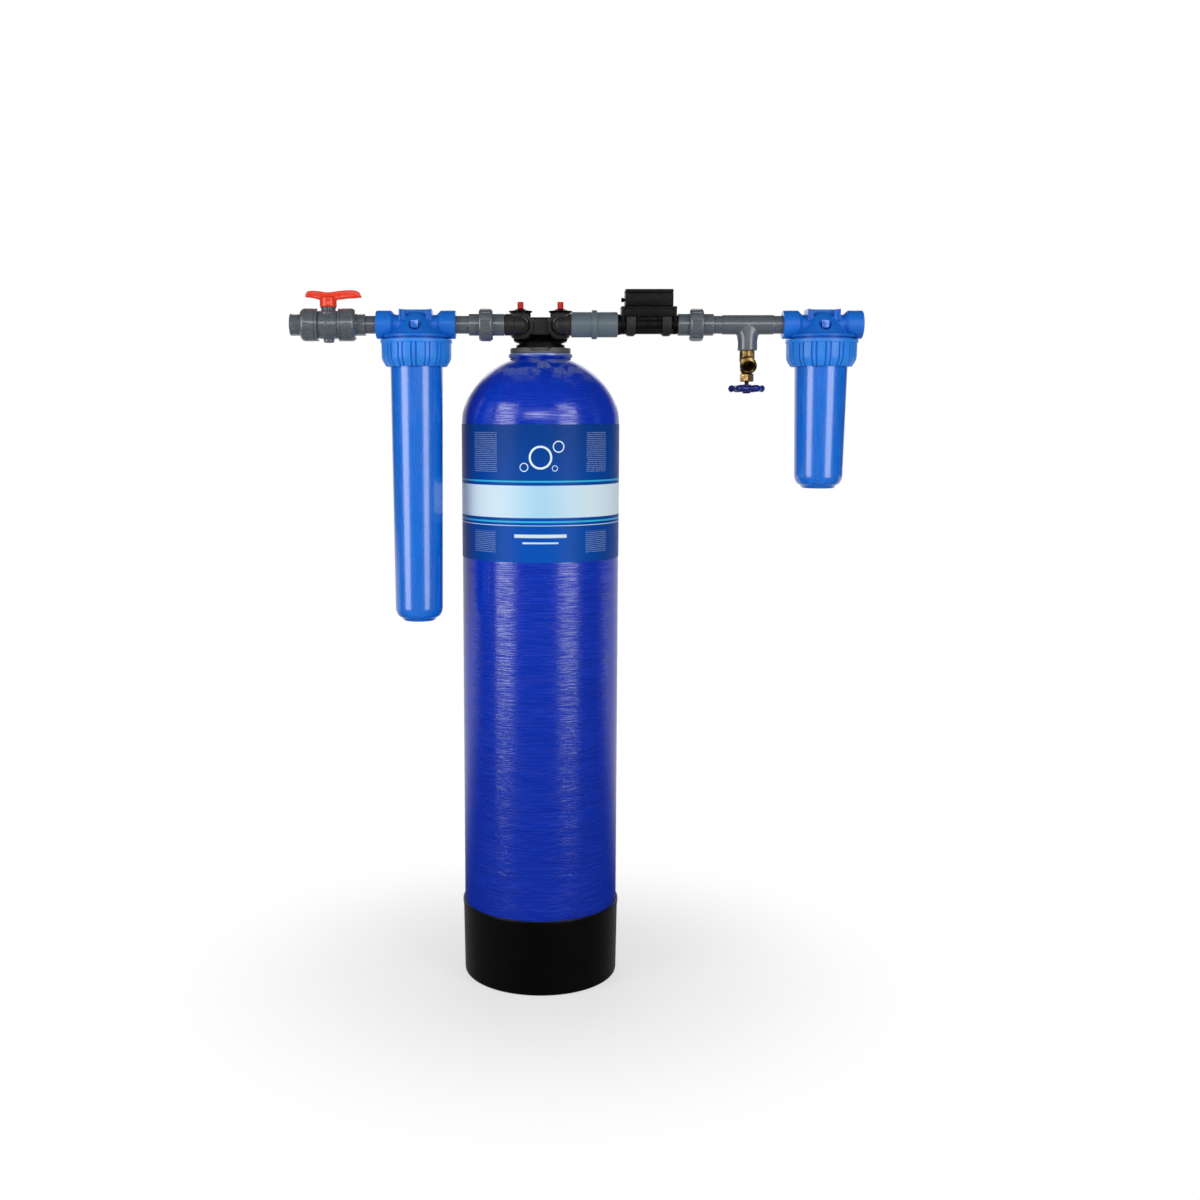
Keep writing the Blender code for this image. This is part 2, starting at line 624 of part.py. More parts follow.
def bypass():
    """The bypass in front of the head, with a plug, a cap and a red knob on each side."""
    reach = PORT_SPACING / 2
    floor = -PLUG_HOUSING_DROP + PLUG_FLOOR
    cap_bottom = PLUG_HOUSING_RISE + GAP
    cap_top = cap_bottom + CAP_HEIGHT + CAP_CONE_HEIGHT
    knob_bottom = cap_top + GAP
    spindle_bore = around(SPINDLE_RADIUS, PIPE_STEPS)
    plug_bore = around(PLUG_RADIUS, PIPE_STEPS)
    wall = (plug_bore + PLUG_HOUSING_RADIUS * math.cos(math.pi / PIPE_STEPS)) / 2
    bar = reach - wall
    body = rod("bypass_body", BYPASS_BAR_RADIUS, -bar, bar, (0, BYPASS_Y, PIPE_Z), ALONG_X,
               surface=DARK)
    bores = [rod("cut_bypass_bar", BYPASS_BAR_WATER_RADIUS, -reach, reach, (0, BYPASS_Y, PIPE_Z),
                 ALONG_X, WATER_STEPS)]
    for side, name in ((-1, "inlet"), (1, "outlet")):
        place = (side * reach, BYPASS_Y, PIPE_Z)
        join(body,
             turned(f"{name}_housing", [
                 (0, -PLUG_HOUSING_DROP), (PLUG_HOUSING_RADIUS, -PLUG_HOUSING_DROP),
                 (PLUG_HOUSING_RADIUS, PLUG_HOUSING_RISE), (plug_bore, PLUG_HOUSING_RISE),
                 (plug_bore, floor), (0, floor),
             ], place, ALONG_Z, None, even_angles(PIPE_STEPS)),
             rod(f"{name}_port_boss", BYPASS_PORT_RADIUS, wall, BYPASS_PORT_REACH, place, AGAINST_Y),
             rod(f"{name}_spigot", BYPASS_SPIGOT_RADIUS, wall, BYPASS_SPIGOT_REACH, place, ALONG_Y))
        bores.append(rod(f"cut_{name}_through", BYPASS_WATER_RADIUS, -BYPASS_PORT_REACH - OVERRUN,
                         BYPASS_SPIGOT_REACH + OVERRUN, place, ALONG_Y, WATER_STEPS))

        top = PLUG_HOUSING_RISE - CAP_SKIRT - GAP
        spindle_top = knob_bottom + KNOB_SOCKET - GAP
        plug = turned(f"{name}_bypass_plug", [
            (0, floor + GAP), (PLUG_RADIUS, floor + GAP), (PLUG_RADIUS, top), (SPINDLE_RADIUS, top),
            (SPINDLE_RADIUS, spindle_top), (0, spindle_top),
        ], place, ALONG_Z, DARK, even_angles(PIPE_STEPS))
        cut(plug, rod(f"cut_{name}_plug", BYPASS_WATER_RADIUS, -PLUG_RADIUS - OVERRUN,
                      PLUG_RADIUS + OVERRUN, place, ALONG_Y, WATER_STEPS))
        turned(f"{name}_bypass_cap", [
            (spindle_bore, PLUG_HOUSING_RISE - CAP_SKIRT), (PLUG_RADIUS, PLUG_HOUSING_RISE - CAP_SKIRT),
            (PLUG_RADIUS, cap_bottom), (CAP_RADIUS, cap_bottom), (CAP_RADIUS, cap_bottom + CAP_HEIGHT),
            (CAP_CONE_RADIUS, cap_top), (spindle_bore, cap_top),
        ], place, ALONG_Z, BLACK, even_angles(PIPE_STEPS))
        turned(f"{name}_bypass_knob", [
            (0, knob_bottom + KNOB_SOCKET), (SPINDLE_RADIUS + GAP, knob_bottom + KNOB_SOCKET),
            (SPINDLE_RADIUS + GAP, knob_bottom), (KNOB_RADIUS, knob_bottom),
            (KNOB_RADIUS, knob_bottom + KNOB_HEIGHT - KNOB_ROUND),
            (KNOB_RADIUS - KNOB_ROUND, knob_bottom + KNOB_HEIGHT), (0, knob_bottom + KNOB_HEIGHT),
        ], place, ALONG_Z, KNOB_RED, even_angles(SMALL_STEPS))
    cut(body, *bores)


def elbows():
    """The elbow in front of each bypass port, turned out to its side, and its nut."""
    for side, name, outward in ((-1, "inlet", AGAINST_X), (1, "outlet", ALONG_X)):
        place = (side * PORT_SPACING / 2, PIPE_Y, PIPE_Z)
        end = ELBOW_ARM + SOCKET_DEPTH - GAP
        radius = ELBOW_LEG_RADIUS
        elbow = turned(f"{name}_elbow", arc(radius, radius, 0, -math.pi / 2, 0, ROUND_END_STEPS) + [
            (ELBOW_ARM_RADIUS, ELBOW_ARM_SHOULDER), (ELBOW_ARM_RADIUS, ELBOW_ARM),
            (PIPE_RADIUS, ELBOW_ARM), (PIPE_RADIUS, end), (0, end),
        ], place, outward, DARK, even_angles(PIPE_STEPS))
        face = ELBOW_LEG - GAP
        join(elbow, turned(f"{name}_elbow_leg", [
            (0, 0), (radius, 0), (radius, face - ELBOW_FLANGE), (ELBOW_FLANGE_RADIUS, face - ELBOW_FLANGE),
            (ELBOW_FLANGE_RADIUS, face), (0, face),
        ], place, ALONG_Y, None, even_angles(PIPE_STEPS)))
        cut(elbow,
            rod(f"cut_{name}_arm", WATER_RADIUS, 0, end + OVERRUN, place, outward, WATER_STEPS),
            rod(f"cut_{name}_leg", WATER_RADIUS, 0, ELBOW_LEG + OVERRUN, place, ALONG_Y, WATER_STEPS))

        seat = -(ELBOW_FLANGE + 2 * GAP)
        steps = ELBOW_LOBE_STEPS * ELBOW_NUT_RIBS
        neck = around(radius, steps)
        bore = around(max(BYPASS_PORT_RADIUS, ELBOW_FLANGE_RADIUS), steps)
        turned(f"{name}_elbow_nut", [
            (neck, seat - ELBOW_NUT_FRONT), (ELBOW_NUT_RADIUS, seat - ELBOW_NUT_FRONT, True),
            (ELBOW_NUT_RADIUS, ELBOW_NUT_BACK, True), (bore, ELBOW_NUT_BACK), (bore, seat), (neck, seat),
        ], (place[0], PORT_FACE_Y, PIPE_Z), ALONG_Y, DARK, lobe_angles(ELBOW_NUT_RIBS, ELBOW_LOBE_STEPS),
            ELBOW_NUT_RIB)


def facing(direction):
    return ALONG_X if direction > 0 else AGAINST_X


def socket_end(name, x, direction, tail, surface=PVC):
    """A pipe socket with the collar that a nut holds. It starts at x and runs in direction."""
    socket = around(PIPE_RADIUS, PIPE_STEPS)
    seat = tail + NUT_LIP + GAP
    turned(name, [
        (socket, 0), (TAIL_RADIUS, 0), (TAIL_RADIUS, seat), (COLLAR_IN_NUT_RADIUS, seat),
        (COLLAR_IN_NUT_RADIUS, seat + COLLAR_IN_NUT), (WATER_RADIUS, seat + COLLAR_IN_NUT),
        (WATER_RADIUS, SOCKET_DEPTH), (socket, SOCKET_DEPTH),
    ], pipe_place(x), facing(direction), surface, even_angles(PIPE_STEPS))


def thread_in_nut(nut_length):
    """How far a threaded end reaches into its nut, up to the collar that the nut holds."""
    return nut_length - NUT_LIP - COLLAR_IN_NUT - 2 * GAP


def threaded_end(name, x, direction, tail, nut_length):
    """The other half of a union: a pipe socket with the thread that its nut turns on."""
    socket = around(PIPE_RADIUS, PIPE_STEPS)
    end = tail + thread_in_nut(nut_length)
    turned(name, [
        (socket, 0), (TAIL_RADIUS, 0), (TAIL_RADIUS, tail), (COLLAR_IN_NUT_RADIUS, tail),
        (COLLAR_IN_NUT_RADIUS, end), (WATER_RADIUS, end), (WATER_RADIUS, SOCKET_DEPTH),
        (socket, SOCKET_DEPTH),
    ], pipe_place(x), facing(direction), PVC, even_angles(PIPE_STEPS))


def union_nut(name, x, direction, length):
    """A ribbed nut whose lip, at x, holds the collar of a socket end."""
    steps = 2 * NUT_RIBS
    end = length - GAP
    neck = around(TAIL_RADIUS, steps)
    bore = around(COLLAR_IN_NUT_RADIUS, steps)
    turned(name, [
        (neck, 0), (NUT_RADIUS - NUT_CHAMFER, 0), (NUT_RADIUS, NUT_CHAMFER, True),
        (NUT_RADIUS, end - NUT_CHAMFER, True), (NUT_RADIUS - NUT_CHAMFER / 2, end),
        (bore, end), (bore, NUT_LIP), (neck, NUT_LIP),
    ], pipe_place(x), facing(direction), PVC, rib_angles(NUT_RIBS), NUT_RIB)


def union(name, x, direction):
    """A union from x in direction. It returns where its far face is."""
    nut = x + direction * UNION_TAIL_IN
    far = nut + direction * (UNION_NUT_LENGTH + UNION_TAIL_OUT)
    socket_end(f"{name}_collar_end", x, direction, UNION_TAIL_IN)
    union_nut(f"{name}_nut", nut, direction, UNION_NUT_LENGTH)
    threaded_end(f"{name}_thread_end", far, -direction, UNION_TAIL_OUT, UNION_NUT_LENGTH)
    return far


def nipple(name, x, direction, shows):
    """A piece of pipe from x in direction, with an end in the socket on either side."""
    hidden = SOCKET_DEPTH - GAP
    bore = PIPE_RADIUS - PIPE_WALL
    turned(name, [
        (bore, -hidden), (PIPE_RADIUS, -hidden), (PIPE_RADIUS, shows + hidden),
        (bore, shows + hidden),
    ], pipe_place(x), facing(direction), PVC, even_angles(PIPE_STEPS))
    return x + direction * shows


def ball_valve(x):
    """The ball valve at the inlet, from its outlet socket at x towards -X."""
    outlet_nut = x - VALVE_OUTLET_TAIL
    middle = outlet_nut - VALVE_NUT_LENGTH - VALVE_BODY_LENGTH / 2
    inlet_nut = middle - VALVE_BODY_LENGTH / 2 - VALVE_NUT_LENGTH
    socket_end("valve_outlet_socket", x, -1, VALVE_OUTLET_TAIL)
    union_nut("valve_outlet_nut", outlet_nut, -1, VALVE_NUT_LENGTH)
    union_nut("valve_inlet_nut", inlet_nut, 1, VALVE_NUT_LENGTH)
    socket_end("valve_inlet_socket", inlet_nut - VALVE_TAIL, 1, VALVE_TAIL)

    place = pipe_place(middle)
    half = VALVE_BODY_LENGTH / 2
    end = half + thread_in_nut(VALVE_NUT_LENGTH)
    cavity = BALL_RADIUS + BALL_CLEARANCE
    mouth = math.acos(WATER_RADIUS / cavity)
    body = turned("valve_body", [
        (WATER_RADIUS, -end), (COLLAR_IN_NUT_RADIUS, -end), (COLLAR_IN_NUT_RADIUS, -half),
        (VALVE_BODY_RADIUS, -half), (VALVE_BODY_RADIUS, half), (COLLAR_IN_NUT_RADIUS, half),
        (COLLAR_IN_NUT_RADIUS, end), (WATER_RADIUS, end),
    ] + arc(cavity, cavity, 0, mouth, -mouth, BALL_STEPS), place, ALONG_X, PVC, even_angles(HOUSING_STEPS))
    wall = (cavity + VALVE_BODY_RADIUS) / 2
    join(body,
         rod("valve_neck", VALVE_NECK_RADIUS, wall, VALVE_NECK_RISE, place, ALONG_Z),
         rod("valve_boss", VALVE_BOSS_RADIUS, -VALVE_BOSS_DROP, -wall, place, ALONG_Z))
    cut(body, rod("cut_valve_stem", around(STEM_RADIUS, SMALL_STEPS), BALL_RADIUS / 2,
                  VALVE_NECK_RISE + OVERRUN, place, ALONG_Z, SMALL_STEPS))

    mouth = math.acos(WATER_RADIUS / BALL_RADIUS)
    turned("valve_ball", arc(BALL_RADIUS, BALL_RADIUS, 0, mouth, -mouth, BALL_STEPS), place, ALONG_X, WHITE,
           even_angles(PIPE_STEPS))
    hub = VALVE_NECK_RISE + GAP
    rod("valve_stem", STEM_RADIUS, BALL_RADIUS + GAP, hub + HUB_SOCKET - GAP, place, ALONG_Z,
        SMALL_STEPS, PVC)

    points = []
    for shares in (HANDLE_TOP_SHARES, HANDLE_TIP_SHARES, HANDLE_BACK_SHARES):
        for along, above in shares:
            reach = HANDLE_LONG if along > 0 else HANDLE_SHORT
            points.append((along * reach, HANDLE_UNDERSIDE + above * HANDLE_DEPTH))
    handle = extruded("valve_handle", points, -HANDLE_WIDTH / 2, HANDLE_WIDTH / 2, place, AGAINST_Y,
                      HANDLE_RED)
    join(handle, rod("valve_handle_hub", HUB_RADIUS, hub, hub + HUB_HEIGHT, place, ALONG_Z))
    cut(handle, rod("cut_handle_stem", around(STEM_RADIUS, SMALL_STEPS), hub - OVERRUN,
                    hub + HUB_SOCKET, place, ALONG_Z, SMALL_STEPS))


def dome_radius(height):
    """Radius of a filter head's dome at a height, read off between its points."""
    foot = -FLANGE_DROP
    heights = [foot + share * (DOME_TOP - foot) for share in DOME_HEIGHT_SHARES]
    radii = [share * DOME_RADIUS for share in DOME_RADIUS_SHARES]
    for low, high, inside, outside in zip(heights, heights[1:], radii, radii[1:]):
        if low <= height <= high:
            return inside + (outside - inside) * (height - low) / (high - low)
    return radii[0]


def filter_head(prefix, place):
    """The head of a filter housing: ports, dome, bracket, flange and thread skirt."""
    foot = -FLANGE_DROP
    chamber = SKIRT_RADIUS - SKIRT_WALL
    dome = [(share * DOME_RADIUS, foot + rise * (DOME_TOP - foot))
            for share, rise in zip(DOME_RADIUS_SHARES, DOME_HEIGHT_SHARES)]
    head = turned(f"{prefix}_head", [
        (0, -CHAMBER_DROP), (chamber, -CHAMBER_DROP), (chamber, -SKIRT_DROP),
        (SKIRT_RADIUS, -SKIRT_DROP), (SKIRT_RADIUS, foot - FLANGE_HEIGHT),
        (FLANGE_RADIUS, foot - FLANGE_HEIGHT), (FLANGE_RADIUS, foot),
    ] + dome + [(0, DOME_TOP)], place, ALONG_Z, HEAD_BLUE, even_angles(HOUSING_STEPS))

    end = PORT_TO_PORT / 2
    shoulder = end - PORT_LENGTH
    neck = shoulder - PORT_TAPER
    join(head, turned(f"{prefix}_ports", [
        (0, -end), (PORT_RADIUS, -end), (PORT_RADIUS, -shoulder), (PORT_BARREL_RADIUS, -neck),
        (PORT_BARREL_RADIUS, neck), (PORT_RADIUS, shoulder), (PORT_RADIUS, end), (0, end),
    ], place, ALONG_X, None, even_angles(PIPE_STEPS)))
    half, deep = BRACKET_WIDTH / 2, BRACKET_DEPTH / 2
    x, y, z = place
    top = z + BRACKET_RISE
    join(head, box(f"{prefix}_bracket", (x - half, y - deep, top - BRACKET_HEIGHT),
                   (x + half, y + deep, top), None))
    inside = half - BRACKET_LIP
    cut(head, box(f"cut_{prefix}_bracket", (x - inside, y - deep - OVERRUN, top - BRACKET_RECESS),
                  (x + inside, y + deep + OVERRUN, top + OVERRUN), None))

    socket = around(PIPE_RADIUS, PIPE_STEPS)
    below = -CHAMBER_DROP - OVERRUN
    cut(head,
        rod(f"cut_{prefix}_inlet_socket", socket, end - SOCKET_DEPTH, end + OVERRUN, place, AGAINST_X),
        rod(f"cut_{prefix}_outlet_socket", socket, end - SOCKET_DEPTH, end + OVERRUN, place, ALONG_X),
        rod(f"cut_{prefix}_inlet", WATER_RADIUS, INLET_DRILL_OFFSET - INLET_DRILL_RADIUS,
            end - SOCKET_DEPTH + OVERRUN, place, AGAINST_X, WATER_STEPS),
        rod(f"cut_{prefix}_outlet", WATER_RADIUS, 0, end - SOCKET_DEPTH + OVERRUN, place, ALONG_X,
            WATER_STEPS),
        rod(f"cut_{prefix}_inlet_drill", INLET_DRILL_RADIUS, below, 0,
            (x - INLET_DRILL_OFFSET, y, z), ALONG_Z, WATER_STEPS),
        rod(f"cut_{prefix}_outlet_drill", OUTLET_DRILL_RADIUS, below, 0, place, ALONG_Z, WATER_STEPS))

    front = dome_radius(0)
    floor = front - VENT_RECESS_DEPTH
    guide = floor - VENT_GUIDE_DEPTH
    cut(head,
        rod(f"cut_{prefix}_vent_recess", VENT_RECESS_RADIUS, floor, front + VENT_RECESS_DEPTH,
            place, AGAINST_Y),
        rod(f"cut_{prefix}_vent_guide", around(VENT_RADIUS, SMALL_STEPS), guide, front, place,
            AGAINST_Y, SMALL_STEPS))
    rod(f"{prefix}_vent_button", VENT_RADIUS, guide + VENT_TRAVEL + GAP, floor + VENT_SHOWS, place,
        AGAINST_Y, SMALL_STEPS, HEAD_BLUE)


def filter_housing(prefix, x, drop):
    """A filter housing with its ports at the pipe line. Its bowl reaches drop below the line."""
    place = pipe_place(x)
    filter_head(prefix, place)

    steps = 2 * RING_RIBS
    skirt = around(SKIRT_RADIUS, steps)
    neck = around(SUMP_TOP_RADIUS, steps)
    top = -RING_TOP_DROP
    bottom = top - RING_HEIGHT
    turned(f"{prefix}_ring_nut", [
        (neck, bottom), (RING_BOTTOM_RADIUS, bottom), (RING_RADIUS, bottom + RING_TAPER_HEIGHT, True),
        (RING_RADIUS, top - RING_RIM, True), (RING_RIM_RADIUS, top - RING_RIM),
        (RING_RIM_RADIUS, top), (skirt, top), (skirt, bottom + RING_LIP), (neck, bottom + RING_LIP),
    ], place, ALONG_Z, RING_BLUE, rib_angles(RING_RIBS), RING_RIB)

    flange_top = -SKIRT_DROP - GAP
    flange_bottom = bottom + RING_LIP + GAP
    foot = -drop + SUMP_FOOT
    floor = foot + SUMP_WALL
    seat = floor + CARTRIDGE_SEAT_HEIGHT
    inside = SUMP_BOTTOM_RADIUS - SUMP_WALL
    rounding = arc(SUMP_BOTTOM_RADIUS - SUMP_FOOT_RADIUS, SUMP_ROUND, foot + SUMP_ROUND,
                   -math.pi / 2, 0, ROUND_END_STEPS)
    turned(f"{prefix}_sump", [(0, -drop), (SUMP_FOOT_RADIUS, -drop)]
           + [(SUMP_FOOT_RADIUS + radius, height) for radius, height in rounding] + [
        (SUMP_TOP_RADIUS, flange_bottom), (SKIRT_RADIUS, flange_bottom), (SKIRT_RADIUS, flange_top),
        (SUMP_TOP_RADIUS - SUMP_WALL, flange_top), (inside, floor + SUMP_INNER_CHAMFER),
        (inside - SUMP_INNER_CHAMFER, floor), (CARTRIDGE_SEAT_RADIUS, floor), (CARTRIDGE_SEAT_RADIUS, seat),
        (0, seat),
    ], place, ALONG_Z, SUMP_BLUE, even_angles(HOUSING_STEPS))

    turned(f"{prefix}_cartridge", [
        (CARTRIDGE_CORE_RADIUS, seat + GAP), (CARTRIDGE_RADIUS, seat + GAP),
        (CARTRIDGE_RADIUS, -CHAMBER_DROP - GAP), (CARTRIDGE_CORE_RADIUS, -CHAMBER_DROP - GAP),
    ], place, ALONG_Z, FELT, even_angles(PIPE_STEPS))


def meter_coupling(x):
    """The pale coupling between the outlet elbow's arm and the meter. It returns its far face."""
    length = COUPLING_LENGTH
    middle = length / 2
    arm = around(ELBOW_ARM_RADIUS, PIPE_STEPS)
    pipe = around(PIPE_RADIUS, PIPE_STEPS)
    arm_end = COUPLING_COVERS + GAP
    turned("meter_coupling", [
        (arm, 0), (COUPLING_RADIUS - COUPLING_CHAMFER, 0), (COUPLING_RADIUS, COUPLING_CHAMFER),
        (COUPLING_RADIUS, middle - COUPLING_RIDGE / 2),
        (COUPLING_RIDGE_RADIUS, middle - COUPLING_RIDGE / 2),
        (COUPLING_RIDGE_RADIUS, middle + COUPLING_RIDGE / 2),
        (COUPLING_RADIUS, middle + COUPLING_RIDGE / 2), (COUPLING_RADIUS, length - COUPLING_CHAMFER),
        (COUPLING_RADIUS - COUPLING_CHAMFER, length), (pipe, length), (pipe, length - SOCKET_DEPTH),
        (WATER_RADIUS, length - SOCKET_DEPTH), (WATER_RADIUS, arm_end + SOCKET_DEPTH),
        (pipe, arm_end + SOCKET_DEPTH), (pipe, arm_end), (arm, arm_end),
    ], pipe_place(x), ALONG_X, PALE_PVC, even_angles(PIPE_STEPS))
    return x + length


def flow_meter(x):
    """The flow meter from x: tube and shoulders, housing, lid, clips and turbine.
    It returns where the union after it starts."""
    hidden = SOCKET_DEPTH - GAP
    start = METER_NECK + METER_SHOULDER_INSET
    end = METER_NECK + METER_BODY_LENGTH
    far = end + METER_END_GAP
    half = METER_SHOULDER_DEPTH / 2
    body = turned("meter_body", [
        (WATER_RADIUS, -hidden), (PIPE_RADIUS, -hidden), (PIPE_RADIUS, GAP), (METER_NECK_RADIUS, GAP),
        (METER_NECK_RADIUS, METER_NECK), (METER_TUBE_RADIUS, METER_NECK), (METER_TUBE_RADIUS, far - GAP),
        (PIPE_RADIUS, far - GAP), (PIPE_RADIUS, far + hidden), (WATER_RADIUS, far + hidden),
    ], pipe_place(x), ALONG_X, BLACK, even_angles(PIPE_STEPS))
    shoulder_top = PIPE_Z + METER_SHOULDER_RISE
    join(body, box("meter_shoulders", (x + start, PIPE_Y - half, PIPE_Z + METER_SHOULDER_BASE),
                   (x + end, PIPE_Y + half, shoulder_top), None, METER_HOUSING_BEVEL))

    middle = x + METER_NECK + METER_BODY_LENGTH / 2 + METER_HOUSING_SHIFT
    reach, deep = METER_HOUSING_LENGTH / 2, METER_HOUSING_DEPTH / 2
    low = shoulder_top + GAP
    high = low + METER_HOUSING_HEIGHT
    housing = box("meter_housing", (middle - reach, PIPE_Y - deep, low),
                  (middle + reach, PIPE_Y + deep, high), BLACK, METER_HOUSING_BEVEL)
    join(housing, rod("meter_gland", METER_GLAND_RADIUS, reach - METER_GLAND_LENGTH,
                      reach + METER_GLAND_LENGTH, (middle, PIPE_Y, low + METER_GLAND_RISE), AGAINST_X,
                      SMALL_STEPS))
    box("meter_lid", (middle - reach, PIPE_Y - deep, high + GAP),
        (middle + reach, PIPE_Y + deep, high + GAP + METER_LID_HEIGHT), BLACK, METER_HOUSING_BEVEL)

    tube = around(METER_TUBE_RADIUS, PIPE_STEPS)
    outside = tube + CLIP_WALL
    for name, left in (("inlet", start + CLIP_INSET), ("outlet", end - CLIP_INSET - CLIP_LENGTH)):
        clip = box(f"meter_{name}_clip", (x + left, PIPE_Y - outside, PIPE_Z - CLIP_DROP),
                   (x + left + CLIP_LENGTH, PIPE_Y + outside, PIPE_Z + CLIP_RISE), DARK,
                   METER_HOUSING_BEVEL)
        cut(clip,
            rod(f"cut_{name}_clip_tube", tube, left - OVERRUN, left + CLIP_LENGTH + OVERRUN,
                pipe_place(x), ALONG_X),
            box(f"cut_{name}_clip_mouth", (x + left - OVERRUN, PIPE_Y - tube, PIPE_Z),
                (x + left + CLIP_LENGTH + OVERRUN, PIPE_Y + tube, PIPE_Z + CLIP_RISE + OVERRUN), None))

    tip = WATER_RADIUS * math.cos(math.pi / PIPE_STEPS) - GAP
    points = []
    for blade in range(TURBINE_BLADES):
        angle = math.tau * blade / TURBINE_BLADES
        lean = math.asin(TURBINE_BLADE / 2 / TURBINE_HUB_RADIUS)
        spread = math.asin(TURBINE_BLADE / 2 / tip)
        for radius, turn in ((TURBINE_HUB_RADIUS, -lean), (tip, -spread), (tip, spread),
                             (TURBINE_HUB_RADIUS, lean)):
            points.append((radius * math.cos(angle + turn), radius * math.sin(angle + turn)))
    extruded("meter_turbine", points, -TURBINE_LENGTH / 2, TURBINE_LENGTH / 2, pipe_place(middle),
             ALONG_X, WHITE)
    return x + far


def tee(x):
    """The tee from x, with its branch hanging down. It returns where its middle is."""
    middle = x + TEE_LENGTH / 2
    place = pipe_place(middle)
    half = TEE_LENGTH / 2
    run = rod("tee", TEE_RADIUS, -half, half, place, ALONG_X, surface=PVC)
    join(run, rod("tee_branch", TEE_BRANCH_RADIUS, -TEE_BRANCH_DROP, 0, place, ALONG_Z))
    socket = around(PIPE_RADIUS, PIPE_STEPS)
    thread_end = -TEE_BRANCH_DROP + DRAIN_THREAD_LENGTH
    cut(run,
        rod("cut_tee_run", WATER_RADIUS, -half - OVERRUN, half + OVERRUN, place, ALONG_X, WATER_STEPS),
        rod("cut_tee_right", socket, half - SOCKET_DEPTH, half + OVERRUN, place, ALONG_X),
        rod("cut_tee_left", socket, half - SOCKET_DEPTH, half + OVERRUN, place, AGAINST_X),
        rod("cut_tee_thread", around(DRAIN_THREAD_RADIUS, PIPE_STEPS), -TEE_BRANCH_DROP - OVERRUN,
            thread_end, place, ALONG_Z),
        rod("cut_tee_branch", DRAIN_THREAD_RADIUS - PIPE_WALL, thread_end - OVERRUN, 0, place,
            ALONG_Z, WATER_STEPS))
    return middle


